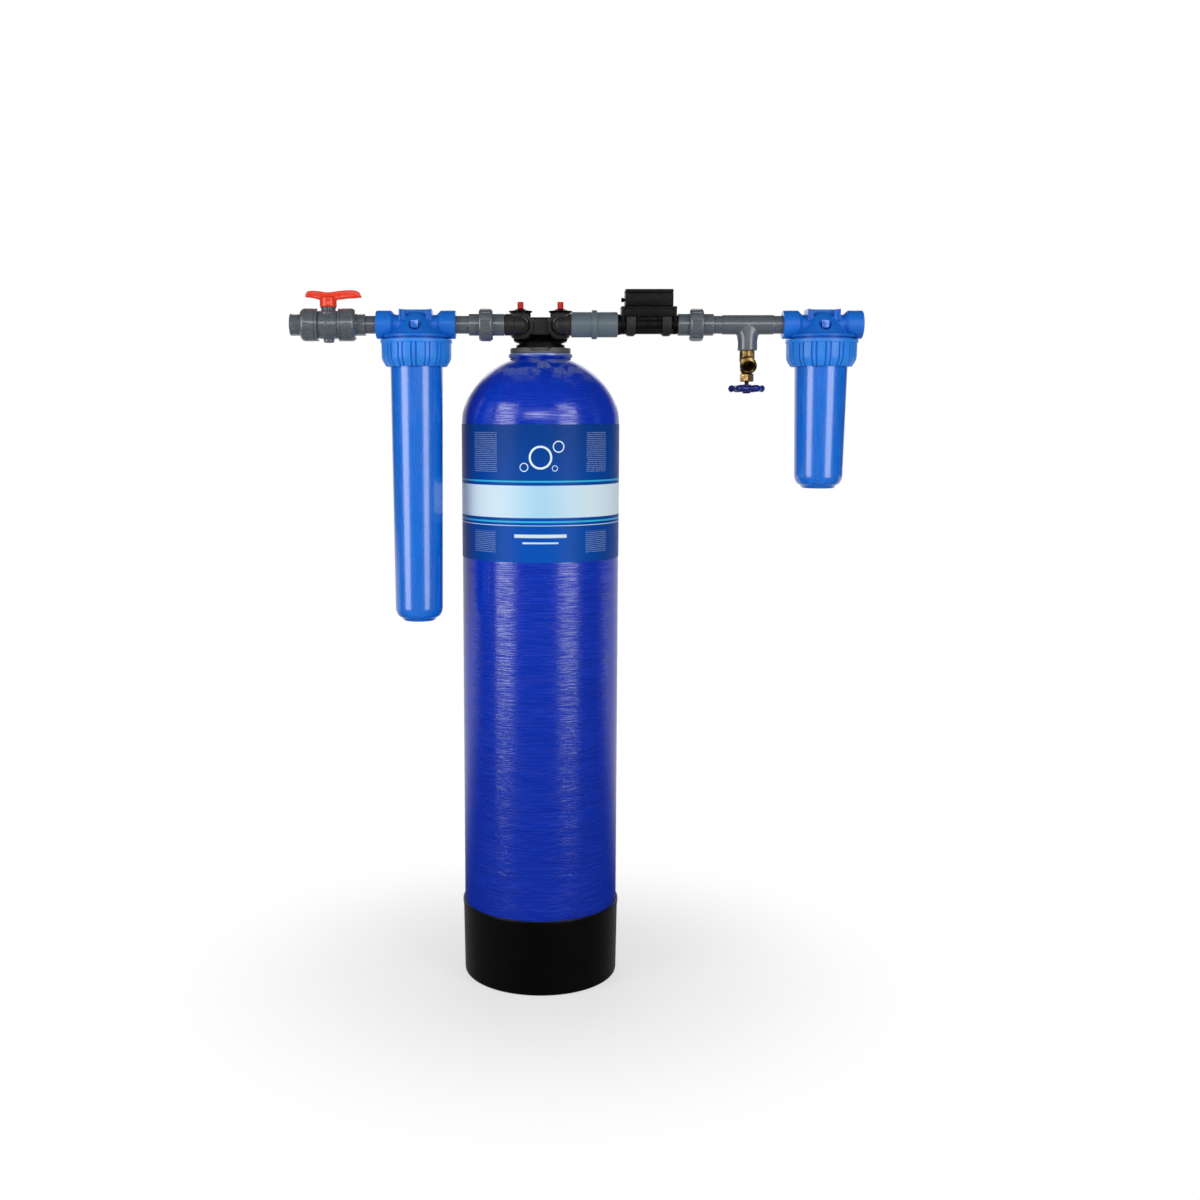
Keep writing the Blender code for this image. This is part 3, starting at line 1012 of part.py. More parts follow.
def drain_valve(x):
    """The brass drain valve under the tee, with its spout to the front and its wheel below."""
    place = pipe_place(x)
    top = -TEE_BRANCH_DROP - GAP
    thread_top = -TEE_BRANCH_DROP + DRAIN_THREAD_LENGTH - GAP
    shank = top - DRAIN_SHANK
    barrel = top - DRAIN_BARREL_DROP
    bonnet = barrel - DRAIN_BONNET
    body = turned("drain_body", [
        (0, bonnet), (DRAIN_BONNET_RADIUS, bonnet), (DRAIN_BONNET_RADIUS, barrel),
        (DRAIN_BARREL_RADIUS, barrel), (DRAIN_BARREL_RADIUS, shank), (DRAIN_SHANK_RADIUS, shank),
        (DRAIN_SHANK_RADIUS, top), (DRAIN_THREAD_RADIUS, top), (DRAIN_THREAD_RADIUS, thread_top),
        (0, thread_top),
    ], place, ALONG_Z, BRASS, even_angles(PIPE_STEPS))
    spout_place = (place[0], place[1], PIPE_Z + top - DRAIN_SPOUT_DROP)
    downward = (math.pi / 2 + DRAIN_SPOUT_TILT, 0, 0)
    length = DRAIN_SPOUT_LENGTH
    join(body, turned("drain_spout", [
        (0, 0), (DRAIN_SPOUT_NECK_RADIUS, 0), (DRAIN_SPOUT_NECK_RADIUS, length - DRAIN_SPOUT_THREAD),
        (DRAIN_SPOUT_THREAD_RADIUS, length - DRAIN_SPOUT_THREAD),
        (DRAIN_SPOUT_THREAD_RADIUS, length), (0, length),
    ], spout_place, downward, None, even_angles(PIPE_STEPS)))
    seat = top - DRAIN_SEAT_DROP
    cut(body,
        rod("cut_drain_seat", DRAIN_SEAT_RADIUS, seat - OVERRUN, thread_top + OVERRUN, place, ALONG_Z,
            WATER_STEPS),
        rod("cut_drain_chamber", DRAIN_CHAMBER_RADIUS, bonnet - OVERRUN, seat, place, ALONG_Z, SMALL_STEPS),
        rod("cut_drain_spout", DRAIN_SPOUT_BORE_RADIUS, DRAIN_SPOUT_BORE_START, length + OVERRUN,
            spout_place, downward, SMALL_STEPS))

    washer = seat - GAP - DRAIN_WASHER_HEIGHT
    rod("drain_washer", DRAIN_WASHER_RADIUS, washer, seat - GAP, place, ALONG_Z, SMALL_STEPS, SEAL)

    nut_top = barrel - GAP
    nut_bottom = nut_top - DRAIN_NUT_HEIGHT
    bore = around(DRAIN_STEM_RADIUS, SMALL_STEPS)
    nut = rod("drain_packing_nut", DRAIN_NUT_RADIUS, nut_bottom, nut_top, place, ALONG_Z, 6, BRASS)
    cut(nut,
        rod("cut_packing_bonnet", around(DRAIN_BONNET_RADIUS, PIPE_STEPS), bonnet - GAP,
            nut_top + OVERRUN, place, ALONG_Z),
        rod("cut_packing_stem", bore, nut_bottom - OVERRUN, nut_top, place, ALONG_Z, SMALL_STEPS))

    hub_top = nut_bottom - DRAIN_WHEEL_GAP
    hub_bottom = hub_top - DRAIN_WHEEL_HEIGHT
    rim_top = hub_top - DRAIN_WHEEL_INSET
    rim_bottom = rim_top - DRAIN_WHEEL_RIM
    web = (rim_top + rim_bottom + DRAIN_WHEEL_WEB) / 2
    socket = hub_bottom + DRAIN_WHEEL_INSET
    rod("drain_stem", DRAIN_STEM_RADIUS, socket + GAP, washer - GAP, place, ALONG_Z, SMALL_STEPS, BRASS)
    inner = DRAIN_WHEEL_RADIUS - DRAIN_WHEEL_RIM
    turned("drain_handwheel", [
        (0, socket), (bore, socket), (bore, hub_top), (DRAIN_WHEEL_HUB_RADIUS, hub_top),
        (DRAIN_WHEEL_HUB_RADIUS, web), (inner, web), (inner, rim_top), (DRAIN_WHEEL_RADIUS, rim_top, True),
        (DRAIN_WHEEL_RADIUS, rim_bottom, True), (inner, rim_bottom), (inner, web - DRAIN_WHEEL_WEB),
        (DRAIN_WHEEL_HUB_RADIUS, web - DRAIN_WHEEL_WEB), (DRAIN_WHEEL_HUB_RADIUS, hub_bottom),
        (0, hub_bottom),
    ], place, ALONG_Z, WHEEL_BLUE, lobe_angles(DRAIN_WHEEL_LOBES, WHEEL_LOBE_STEPS), DRAIN_WHEEL_LOBE)


def inlet_side():
    """From the inlet elbow's arm out to the ball valve, towards -X."""
    arm_end = -(PORT_SPACING / 2 + ELBOW_ARM + GAP)
    far = union("inlet_union", arm_end, -1)
    port = nipple("prefilter_outlet_nipple", far, -1, PREFILTER_NIPPLE_SHOWS)
    filter_housing("prefilter", port - PORT_TO_PORT / 2, PREFILTER_DROP)
    valve = nipple("prefilter_inlet_nipple", port - PORT_TO_PORT, -1, INLET_NIPPLE_SHOWS)
    ball_valve(valve)


def outlet_side():
    """From the outlet elbow's arm out to the second filter, towards +X."""
    arm_end = PORT_SPACING / 2 + ELBOW_ARM
    meter = meter_coupling(arm_end - COUPLING_COVERS)
    after_meter = flow_meter(meter)
    far = union("outlet_union", after_meter, 1)
    tee_start = nipple("tee_inlet_nipple", far, 1, TEE_NIPPLE_IN_SHOWS)
    tee_middle = tee(tee_start)
    drain_valve(tee_middle)
    port = nipple("tee_outlet_nipple", tee_start + TEE_LENGTH, 1, TEE_NIPPLE_OUT_SHOWS)
    filter_housing("postfilter", port + PORT_TO_PORT / 2, POSTFILTER_DROP)


def main():
    tank()
    tank_contents()
    neck_and_head()
    bypass()
    elbows()
    inlet_side()
    outlet_side()


main()
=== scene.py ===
"""Whole house water filter, dressed for its picture.

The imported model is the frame. Each operator builds one group of pieces over it: turned shells,
moulded bodies welded from simpler shapes, and their finishes. +Z is up and -Y is the front.
Shapes are drawn in millimetres; settings, finishes, lights and the camera are in metres.
"""
import json
import math

import bmesh
import bpy
import numpy as np
from bpy.props import FloatProperty, FloatVectorProperty, IntProperty, PointerProperty
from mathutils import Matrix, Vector


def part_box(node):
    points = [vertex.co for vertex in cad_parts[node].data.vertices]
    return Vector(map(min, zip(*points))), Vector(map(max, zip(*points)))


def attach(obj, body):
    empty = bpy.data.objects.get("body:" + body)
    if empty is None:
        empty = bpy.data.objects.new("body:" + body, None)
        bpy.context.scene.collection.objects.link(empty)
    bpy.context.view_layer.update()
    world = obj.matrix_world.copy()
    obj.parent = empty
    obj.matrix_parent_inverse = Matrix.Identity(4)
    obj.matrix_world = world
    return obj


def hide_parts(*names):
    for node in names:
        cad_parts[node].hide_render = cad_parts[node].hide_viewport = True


bl_info = {
    "name": "Whole House Water Filter",
    "version": (1, 0, 0),
    "blender": (4, 5, 0),
    "location": "View3D > Sidebar > Water Filter",
    "description": "Builds a tank filter on its pipe line, with its finishes and a studio",
    "category": "Object",
}

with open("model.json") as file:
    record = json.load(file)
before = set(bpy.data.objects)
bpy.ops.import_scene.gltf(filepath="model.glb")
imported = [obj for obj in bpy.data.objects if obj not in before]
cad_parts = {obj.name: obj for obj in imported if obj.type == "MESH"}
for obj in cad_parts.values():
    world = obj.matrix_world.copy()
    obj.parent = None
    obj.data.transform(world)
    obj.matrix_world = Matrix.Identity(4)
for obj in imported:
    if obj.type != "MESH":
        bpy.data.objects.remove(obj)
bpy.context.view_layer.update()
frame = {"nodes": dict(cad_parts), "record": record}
BODY_OF = {node: body for body, nodes in frame["record"]["behaviour"]["bodies"].items()
           for node in nodes}
SLOT_OF = {entry["node"]: entry["material_slot"] for entry in frame["record"]["subparts"]}
MM = 0.001


def box(node):
    """The low and the high corner of a node."""
    return [np.array(corner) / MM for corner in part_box(node)]


def ends(node, axis=0):
    """The low and the high end of a node along an axis."""
    low, high = box(node)
    return low[axis], high[axis]


LINE_Y, LINE_Z = sum(box("tee_inlet_nipple"))[1:] / 2
PIPE_RADIUS, PIPE_BORE = 16.7, 13.3
WATER_RADIUS = 12.0
SOCKET_RADIUS, SOCKET_DEPTH = 17.0, 11.0
TAIL_RADIUS = 20.3
NUT_COLLAR_RADIUS = 24.5
NUT_RADIUS, NUT_BORE, NUT_MOUTH, NUT_LIP = 30.5, 20.7, 25.0, 5.5
TANK_RADIUS, TANK_WALL = 153.0, 5.0
SHELL_FOOT_RISE = 115.0
SHOULDER = 1105.0
NECK_RADIUS, NECK_RIM_RADIUS, NECK_BORE, NECK_RIM = 58.0, 62.0, 50.0, 9.8
BOOT_FOOT, BOOT_TOP, BOOT_BORE, BOOT_SEAT, BOOT_FLOOR = 153.5, 156.9, 153.3, 100.0, 6.0
LABEL_ARC = math.radians(204)
COLLAR_RADIUS, COLLAR_SPIGOT, COLLAR_BORE = 58.5, 49.3, 32.9
COLLAR_FLANGE, COLLAR_WING, COLLAR_LOBE = 9.7, 7.0, 1.5
PORT_X = 38.0
BYPASS_Y = -38.0
STEM_RADIUS = 6.4
ORIGIN = (0, 0, 0)
ON_AXIS = 0.001
ALONG_X, AGAINST_X = (1, 0, 0), (-1, 0, 0)
ALONG_Y, AGAINST_Y = (0, 1, 0), (0, -1, 0)
ALONG_Z = (0, 0, 1)
QUARTER = math.pi / 2


def linear(text):
    """sRGB hex to linear light: value / 12.92 near black, else ((value + 0.055) / 1.055) ^ 2.4."""
    value = np.array([int(text[start:start + 2], 16) for start in (0, 2, 4)]) / 255
    return np.where(value <= 0.04045, value / 12.92, ((value + 0.055) / 1.055) ** 2.4).tolist()


def colour(name, text, words):
    """A colour setting whose default is an sRGB hex value."""
    return FloatVectorProperty(name=name, description=words, subtype="COLOR", size=3,
                               min=0, max=1, default=linear(text))


def size(name, value, words):
    """A length setting in metres."""
    return FloatProperty(name=name, description=words, default=value, min=0, unit="LENGTH",
                         precision=5)


def power(name, value, words):
    """A light's power setting in watts."""
    return FloatProperty(name=name, description=words, default=value, min=0, subtype="POWER",
                         unit="POWER")


def share(name, value, words):
    """A setting between 0 and 1."""
    return FloatProperty(name=name, description=words, default=value, min=0, max=1)


class TankSettings(bpy.types.PropertyGroup):
    """Sizes and colours of the tank and its label."""
    deep: colour("Resin, deep", "001E92", "Blue of the resin where the winding lies deep")
    bright: colour("Resin, bright", "0038C6", "Blue of the resin where the glass shows through")
    # Frost colour: the dry glass under the neck, and also the painted highlight on the neck's rolled
    # lip
    frost_and_lip_highlight: colour("Frosted resin", "8C9CC0", "Dry glass under the neck's rim")
    boot: colour("Boot", "030303", "Black of the moulded base")
    collar: colour("Collar", "666663", "Grey of the neck collar")
    field: colour("Label field", "0052B8", "Blue at the label's middle")
    edge: colour("Label edge", "003C8C", "Navy at the label's top and sides")
    band: colour("Label band", "DDF1FA", "Pale band across the label")
    trim: colour("Label trim", "38B6E6", "Cyan lines beside the band")
    winding: size("Winding", 0.0021, "Height of one wound strand on the wall")
    relief: size("Winding relief", 0.00012, "How far the wound bands stand out")
    strand: size("Strand relief", 0.00046, "How far a single strand stands out")


class PipeSettings(bpy.types.PropertyGroup):
    """Colours and details of the pipe line."""
    grey: colour("Pipe grey", "596167", "Grey of the pipe, unions, tee and ball valve")
    pale: colour("Coupling grey", "5B6973", "Blue-grey of the long coupling")
    black: colour("Black plastic", "090909", "Black of the meter and the tank's head")
    dark: colour("Dark grey plastic", "2A2A29", "Dark grey of the bypass and its elbows")
    handle: colour("Handle red", "F63E1C", "Orange-red of the valve's handle")
    knob: colour("Knob red", "D8241A", "Red of the bypass knobs")
    brass: colour("Brass", "B4945A", "Cast brass of the drain valve")
    wheel: colour("Wheel blue", "0A1A72", "Dark blue enamel of the drain's wheel")
    groove: size("Nut groove", 0.0012, "Depth of the grooves round the valve's nuts")


class HousingSettings(bpy.types.PropertyGroup):
    """Colours and details of both filter housings."""
    head: colour("Head blue", "106CD2", "Blue of the housing heads")
    ring: colour("Ring blue", "2886E8", "Lighter blue of the ring nuts")
    bowl: colour("Bowl blue", "0070E0", "Blue of the glossy bowls")
    groove: size("Ring groove", 0.0034, "Depth of the paired grooves round a ring nut")
    panels: IntProperty(name="Ring panels", description="Broad panels round a ring nut",
                        default=16, min=6, max=30)


class StageSettings(bpy.types.PropertyGroup):
    """Floor, lights and room."""
    floor: colour("Floor", "F4F4F4", "Plain pale floor")
    left: power("Left softbox", 50, "Power of the tall left light")
    right: power("Right softbox", 41, "Power of the tall right light")
    front: power("Front light", 14, "Power of the wide light over the camera")
    back: power("Back light", 16, "Power of the light behind the object")
    ambient: share("Ambient", 0.27, "Strength of the light from all round")
    mirrored: share("Mirrored room", 0.03, "How pale the room looks in gloss")
    backdrop: share("Mirrored backdrop", 0.65, "How pale the backdrop is in gloss")


WHITE = (1, 1, 1, 1)
NOISE_SPAN = (0.36, 0.64)


class Nodes:
    """A node tree that is being written. Each method adds a node and gives one of its outputs."""

    def __init__(self, owner, place="Object"):
        owner.use_nodes = True
        owner.node_tree.nodes.clear()
        self.owner, self.tree = owner, owner.node_tree
        self.place = self.add("TexCoord", out=place)

    def add(self, kind, inputs=(), out=0, **settings):
        """Any node, with the output named or numbered by out. Inputs are values or the sockets
        that feed them, in order or by name or number; settings are the node's properties."""
        node = self.tree.nodes.new("ShaderNode" + kind)
        for key, value in settings.items():
            setattr(node, key, value)
        for key, value in inputs.items() if isinstance(inputs, dict) else enumerate(inputs):
            if isinstance(value, bpy.types.NodeSocket):
                self.tree.links.new(value, node.inputs[key])
            else:
                node.inputs[key].default_value = value
        return node.outputs[out] if len(node.outputs) else None

    def math(self, operation, *values):
        """A calculation with numbers."""
        return self.add("Math", values, operation=operation)

    def vector(self, operation, *values, out=0):
        """A calculation with vectors."""
        return self.add("VectorMath", values, out, operation=operation)

    def axes(self, vector):
        """The outputs X, Y and Z of a vector."""
        return self.add("SeparateXYZ", (vector,)).node.outputs

    def ranged(self, value, low, high, start, end, **settings):
        """The span from low to high mapped on start to end, and held there outside it."""
        return self.add("MapRange", (value, low, high, start, end), **settings)

    def mixed(self, factor, first, second):
        """A mix of two colours."""
        return self.add("Mix", {0: factor, 6: first, 7: second}, 2, data_type="RGBA")

    def between(self, factor, first, second):
        """A mix of two numbers."""
        return self.add("Mix", {0: factor, 2: first, 3: second})

    def scaled(self, vector, scale):
        """A vector times a scale."""
        return self.add("Mapping", {"Vector": vector, "Scale": scale})

    def noise(self, vector, scale, detail, roughness=0.5):
        """Cloudy noise, which stays mostly within NOISE_SPAN."""
        return self.add("TexNoise", {"Vector": vector, "Scale": scale, "Detail": detail,
                                     "Roughness": roughness})

    def bump(self, height, distance, strength):
        """A surface direction tilted by a height."""
        return self.add("Bump", {"Height": height, "Distance": distance, "Strength": strength})

    def surface(self, inputs):
        """Close a material with its shader, and give the material."""
        self.add("OutputMaterial", (self.add("BsdfPrincipled", inputs),))
        return self.owner


def tint(rgb, factor=1):
    """A colour made darker or paler by a factor, with its fourth value."""
    return [min(1, value * factor) for value in rgb] + [1]


def moulded(name, rgb, roughness, grain=0.0009, depth=0.00003, drift=0.12, coat=0.0,
            stretch=(1, 1, 1), shine=0.5, bloom=0.0):
    """Injection-moulded plastic. Its tone drifts by a few per cent over some centimetres, and
    spark-eroded grain and handling marks keep its gloss from being even. Stretch draws the
    grain out along an axis, as on extruded pipe."""
    nodes = Nodes(bpy.data.materials.new(name))
    along = nodes.scaled(nodes.place, stretch)
    tone = nodes.ranged(nodes.noise(nodes.place, 1 / 0.045, 4), *NOISE_SPAN, 0, 1)
    marks = nodes.noise(along, 1 / 0.009, 6, 0.65)
    return nodes.surface({
        "Base Color": nodes.mixed(tone, tint(rgb, 1 - drift), tint(rgb, 1 + drift)),
        "Roughness": nodes.ranged(marks, *NOISE_SPAN, roughness * 0.86, roughness * 1.18),
        "Normal": nodes.bump(nodes.noise(along, 1 / grain, 2), depth, 0.7),
        "Specular IOR Level": shine, "Coat Weight": coat, "Coat Roughness": 0.12,
        "Sheen Weight": bloom, "Sheen Roughness": 0.35})


def wound_resin():
    """Filament-wound glass in blue resin. On the wall the strands lie level, and on the dome they
    run up to the neck and cross. Each strand tilts the gloss a little, so a lamp's reflection
    breaks into short level streaks, but not at the silhouette. The blue is painted paler from
    the lower wall up to the dome, as painted light. Under the neck the glass is dry and whitish,
    and the rolled lip at the top is painted whitish too, as a painted highlight."""
    tank = bpy.context.scene.filter_tank
    nodes = Nodes(bpy.data.materials.new("wound_glass_resin_blue"))
    where = nodes.place
    height = nodes.axes(where)["Z"]
    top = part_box("tank_shell")[1].z
    radius, shoulder = TANK_RADIUS * MM, SHOULDER * MM

    def strands(long, tall):
        """Noise in level strands, long and tall in metres."""
        return nodes.noise(nodes.scaled(where, (1 / long, 1 / long, 1 / tall)), 1, 3, 0.6)

    def rising(twist, wide, long):
        """Noise in strands that climb the dome: the place round the axis is turned by twist for
        each metre of height."""
        unit = nodes.vector("NORMALIZE", nodes.vector("MULTIPLY", where, (1, 1, 0)))
        spun = nodes.add("VectorRotate", {"Vector": unit, "Angle": nodes.math(
            "MULTIPLY", height, twist)}, rotation_type="Z_AXIS")
        place = nodes.vector("ADD", spun, nodes.add("CombineXYZ", {"Z": height}))
        return nodes.noise(nodes.scaled(place, (radius / wide, radius / wide, 1 / long)), 1, 3, 0.6)

    on_dome = nodes.ranged(height, shoulder - 0.005, shoulder + 0.007, 0, 1)
    crossed = nodes.math("MAXIMUM", rising(3.2, 0.0022, 0.045), rising(-3.2, 0.0022, 0.045))
    fine = nodes.between(on_dome, strands(0.034, tank.winding), crossed)
    broad = nodes.between(on_dome, strands(0.16, 0.014), rising(1.5, 0.014, 0.060))
    # The random tone of the winding, plus painted light: the blue is painted paler with height from
    # 0.30 m up to the dome's foot.
    glow = nodes.math("ADD", nodes.ranged(broad, *NOISE_SPAN, 0.37, 0.56),
                      nodes.ranged(height, 0.30, 1.15, 0, 0.32))
    body = nodes.mixed(glow, tint(tank.deep), tint(tank.bright))
    body = nodes.mixed(nodes.ranged(fine, 0.50, 0.75, 0, 0.11), body, tint(tank.deep, 0.6))
    dry = nodes.math("MULTIPLY", nodes.ranged(height, top - 0.058, top - 0.026, 0, 1),
                     nodes.ranged(nodes.noise(where, 1 / 0.022, 6), 0.45, 0.54, 0, 1))
    dry = nodes.math("MULTIPLY", dry, nodes.ranged(crossed, 0.45, 0.68, 0.15, 0.8))
    # Painted highlight: the rolled lip at the neck's top is painted in the frost colour.
    lip = nodes.ranged(height, top - 0.0050, top - 0.0036, 0, 0.75)
    body = nodes.mixed(nodes.math("MAXIMUM", dry, lip), body, tint(tank.frost_and_lip_highlight))

    glossy = strands(0.045, tank.winding * 0.8)
    inner = nodes.ranged(nodes.add("LayerWeight", (0.5,), "Facing"), 0.35, 0.60, 1, 0)
    steep = nodes.math("MULTIPLY", inner, nodes.ranged(on_dome, 0, 1, 1, 0.3))
    lines = nodes.bump(fine, tank.strand, steep)
    shine = nodes.math("MULTIPLY", inner, nodes.ranged(glossy, 0.46, 0.58, 0, 1))
    return nodes.surface({
        "Base Color": body, "Normal": lines, "Coat Normal": lines, "Specular IOR Level": 0.5,
        "Roughness": nodes.between(inner, 0.20, nodes.ranged(glossy, 0.40, 0.60, 0.36, 0.10)),
        "Coat Weight": shine, "Coat Roughness": 0.10, "Coat IOR": 1.8})


# The label's design, in metres across from its middle and up from its lower rim
LABEL_RINGS = ((0.000, 0.196, 0.0200), (0.034, 0.216, 0.0100), (-0.031, 0.178, 0.0075),
               (0.027, 0.176, 0.0050))
LABEL_PANELS = ((-0.116, 0.206, 0.030, 0.037, 0.34), (0.118, 0.206, 0.026, 0.037, 0.34),
                (-0.118, 0.038, 0.028, 0.020, 0.34), (0.118, 0.038, 0.028, 0.020, 0.34),
                (0.000, 0.050, 0.050, 0.0032, 1.0), (0.000, 0.037, 0.034, 0.0016, 1.0))
LABEL_STRIPES = ((0.114, 0.030, "band"), (0.0765, 0.0016, "trim"), (0.1515, 0.0016, "trim"),
                 (0.0695, 0.0006, "band"))
LABEL_RULE, WORDS_A_METRE = 0.0036, 260
PRINT_EDGE = 0.0003


def printed_film():
    """Printed polyester film: a plain generic design of a blue field, a straight pale band with
    thin lines, a few rings like bubbles, two bars and blocks of plain rules, under a satin
    laminate."""
    tank = bpy.context.scene.filter_tank
    nodes = Nodes(bpy.data.materials.new("printed_polyester_film"))
    low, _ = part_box("tank_label")
    parts = nodes.axes(nodes.place)
    turn = nodes.math("ARCTAN2", parts["X"], nodes.math("MULTIPLY", parts["Y"], -1))
    across = nodes.math("MULTIPLY", turn, -low.y)
    up = nodes.math("SUBTRACT", parts["Z"], low.z)
    flat = nodes.add("CombineXYZ", (across, up))
    reach = nodes.math("ABSOLUTE", across)
    edge = nodes.math("MAXIMUM", nodes.ranged(reach, 0.02, 0.15, 0, 0.8),
                      nodes.ranged(up, 0.03, 0.25, 0, 1))
    art = nodes.mixed(edge, tint(tank.field), tint(tank.edge))

    rows = nodes.math("MULTIPLY", up, 1 / LABEL_RULE)
    words = nodes.add("CombineXYZ", (nodes.math("MULTIPLY", across, WORDS_A_METRE),
                                     nodes.math("FLOOR", rows)))
    ruled = nodes.math("MULTIPLY", nodes.ranged(nodes.math("FRACT", rows), 0.26, 0.34, 1, 0),
                       nodes.ranged(nodes.noise(words, 1, 1), 0.36, 0.44, 0, 1))
    for middle, tall, half_wide, half_tall, strength in LABEL_PANELS:
        off = nodes.vector("ABSOLUTE", nodes.vector("SUBTRACT", flat, (middle, tall, 0)))
        off = nodes.axes(nodes.vector("SUBTRACT", off, (half_wide, half_tall, 0)))
        inside = nodes.ranged(nodes.math("MAXIMUM", off["X"], off["Y"]), -0.0002, 0.0002, strength,
                              0)
        if strength < 1:
            inside = nodes.math("MULTIPLY", inside, ruled)
        art = nodes.mixed(inside, art, tint(tank.band, 0.9))

    glow = nodes.ranged(reach, 0.01, 0.10, 0.45, 0)
    inks = {"trim": tint(tank.trim), "band": nodes.mixed(glow, tint(tank.band), tint(tank.trim))}
    for middle, half, ink in LABEL_STRIPES:
        off = nodes.math("ABSOLUTE", nodes.math("SUBTRACT", up, middle))
        inside = nodes.ranged(off, half - PRINT_EDGE / 2, half + PRINT_EDGE / 2, 1, 0)
        art = nodes.mixed(inside, art, inks[ink])
    for middle, tall, radius in LABEL_RINGS:
        away = nodes.vector("DISTANCE", flat, (middle, tall, 0), out="Value")
        off = nodes.math("ABSOLUTE", nodes.math("SUBTRACT", away, radius))
        inside = nodes.ranged(off, radius * 0.09, radius * 0.09 + PRINT_EDGE, 1, 0)
        art = nodes.mixed(inside, art, tint(tank.band))
    dust = nodes.noise(nodes.place, 1 / 0.02, 5)
    return nodes.surface({"Base Color": art, "Specular IOR Level": 0.12,
                          "Roughness": nodes.ranged(dust, *NOISE_SPAN, 0.34, 0.38)})


def cast_brass(name, rgb):
    """Sand-cast yellow brass: grainy, golden where it is rubbed and brown where it isn't."""
    nodes = Nodes(bpy.data.materials.new(name))
    stain = nodes.noise(nodes.place, 1 / 0.008, 5)
    rubbed = nodes.ranged(stain, *NOISE_SPAN, 0, 1)
    return nodes.surface({
        "Base Color": nodes.mixed(rubbed, tint(rgb, 0.42), tint(rgb, 1.12)), "Metallic": 1,
        "Normal": nodes.bump(nodes.noise(nodes.place, 1 / 0.0012, 3), 0.0002, 0.45),
        "Roughness": nodes.ranged(stain, *NOISE_SPAN, 0.42, 0.24)})


def wound_yarn():
    """Filter core of wound white yarn: a diamond of crossing yarns, 3 mm apart."""
    nodes = Nodes(bpy.data.materials.new("wound_polypropylene_yarn"))
    wave = {"Vector": nodes.place, "Scale": 1 / 0.003 / math.tau, "Distortion": 1.5,
            "Detail Scale": 40}
    woven = nodes.math("MULTIPLY", *[nodes.add("TexWave", wave, "Fac", bands_direction=way)
                                     for way in ("Z", "DIAGONAL")])
    return nodes.surface({
        "Base Color": nodes.mixed(woven, tint(linear("D2CFC4")), tint(linear("F2F1EC"))),
        "Roughness": 0.85, "Normal": nodes.bump(woven, 0.0006, 0.8)})


def finishes():
    """Every finish, by the record's slot."""
    data = bpy.context.scene
    tank, pipe, house = data.filter_tank, data.filter_pipe, data.filter_housing
    level, upright = (0.12, 1.0, 1.0), (1.0, 1.0, 0.15)
    return {
        "tank_blue_resin": wound_resin(),
        "label_blue": printed_film(),
        "boot_black": moulded("rotomoulded_polyethylene_black", tank.boot, 0.34, 0.0016, 0.00006,
                              0.18, shine=0.28, bloom=0.25),
        "collar_grey_plastic": moulded("glass_filled_abs_grey", tank.collar, 0.5, shine=0.3),
        "grey_pvc": moulded("moulded_pvc_grey", pipe.grey, 0.26, 0.0012, 0.00001, 0.07, 0.5,
                            level, 1.0),
        "pale_grey_pvc": moulded("moulded_pvc_blue_grey", pipe.pale, 0.40, 0.0012, 0.00001, 0.05,
                                 0.0, level, 0.6),
        "black_plastic": moulded("glass_filled_abs_black", pipe.black, 0.42, 0.0011, 0.00004, 0.2,
                                 shine=0.2),
        "dark_grey_plastic": moulded("glass_filled_noryl_dark_grey", pipe.dark, 0.40, 0.0011,
                                     0.00004, 0.1, shine=0.3),
        "handle_orange_red": moulded("moulded_abs_orange_red", pipe.handle, 0.26, coat=0.3),
        "knob_red": moulded("moulded_abs_red", pipe.knob, 0.42, shine=0.25),
        "housing_head_blue": moulded("polypropylene_head_blue", house.head, 0.36, 0.0010, 0.00003,
                                     0.06, shine=0.4),
        "housing_ring_blue": moulded("polypropylene_ring_blue", house.ring, 0.34, 0.0010, 0.00003,
                                     0.05, shine=0.5),
        "housing_sump_blue": moulded("polypropylene_bowl_blue", house.bowl, 0.26, 0.0014, 0.00001,
                                     0.04, 1.0, upright, 1.0),
        "brass": cast_brass("sand_cast_brass", pipe.brass),
        "wheel_blue": moulded("enamelled_zinc_dark_blue", pipe.wheel, 0.34, 0.0015, 0.00006, 0.2,
                              0.1),
        "white_plastic": moulded("moulded_abs_white", linear("E2E2DC"), 0.45),
        "filter_media": wound_yarn(),
        "carbon": moulded("granular_carbon", linear("1A1A1A"), 0.7, 0.0016, 0.0012, 0.5),
        "black_rubber": moulded("moulded_nitrile_black", linear("161616"), 0.7),
    }


def grid(rows, columns, close_rows, close_columns):
    """Corner numbers of every quad between neighbouring rows and columns of a point grid."""
    row = np.arange(rows if close_rows else rows - 1)[:, None]
    column = np.arange(columns if close_columns else columns - 1)[None, :]
    below, after = (row + 1) % rows, (column + 1) % columns
    corners = (row * columns + column, row * columns + after, below * columns + after,
               below * columns + column)
    return np.stack(np.broadcast_arrays(*corners), -1).reshape(-1, 4).tolist()


def arc(radius, start, end, count):
    """Points of a circle's arc: radius * (cos a, sin a)."""
    angle = np.linspace(start, end, count)
    return radius * np.column_stack([np.cos(angle), np.sin(angle)])


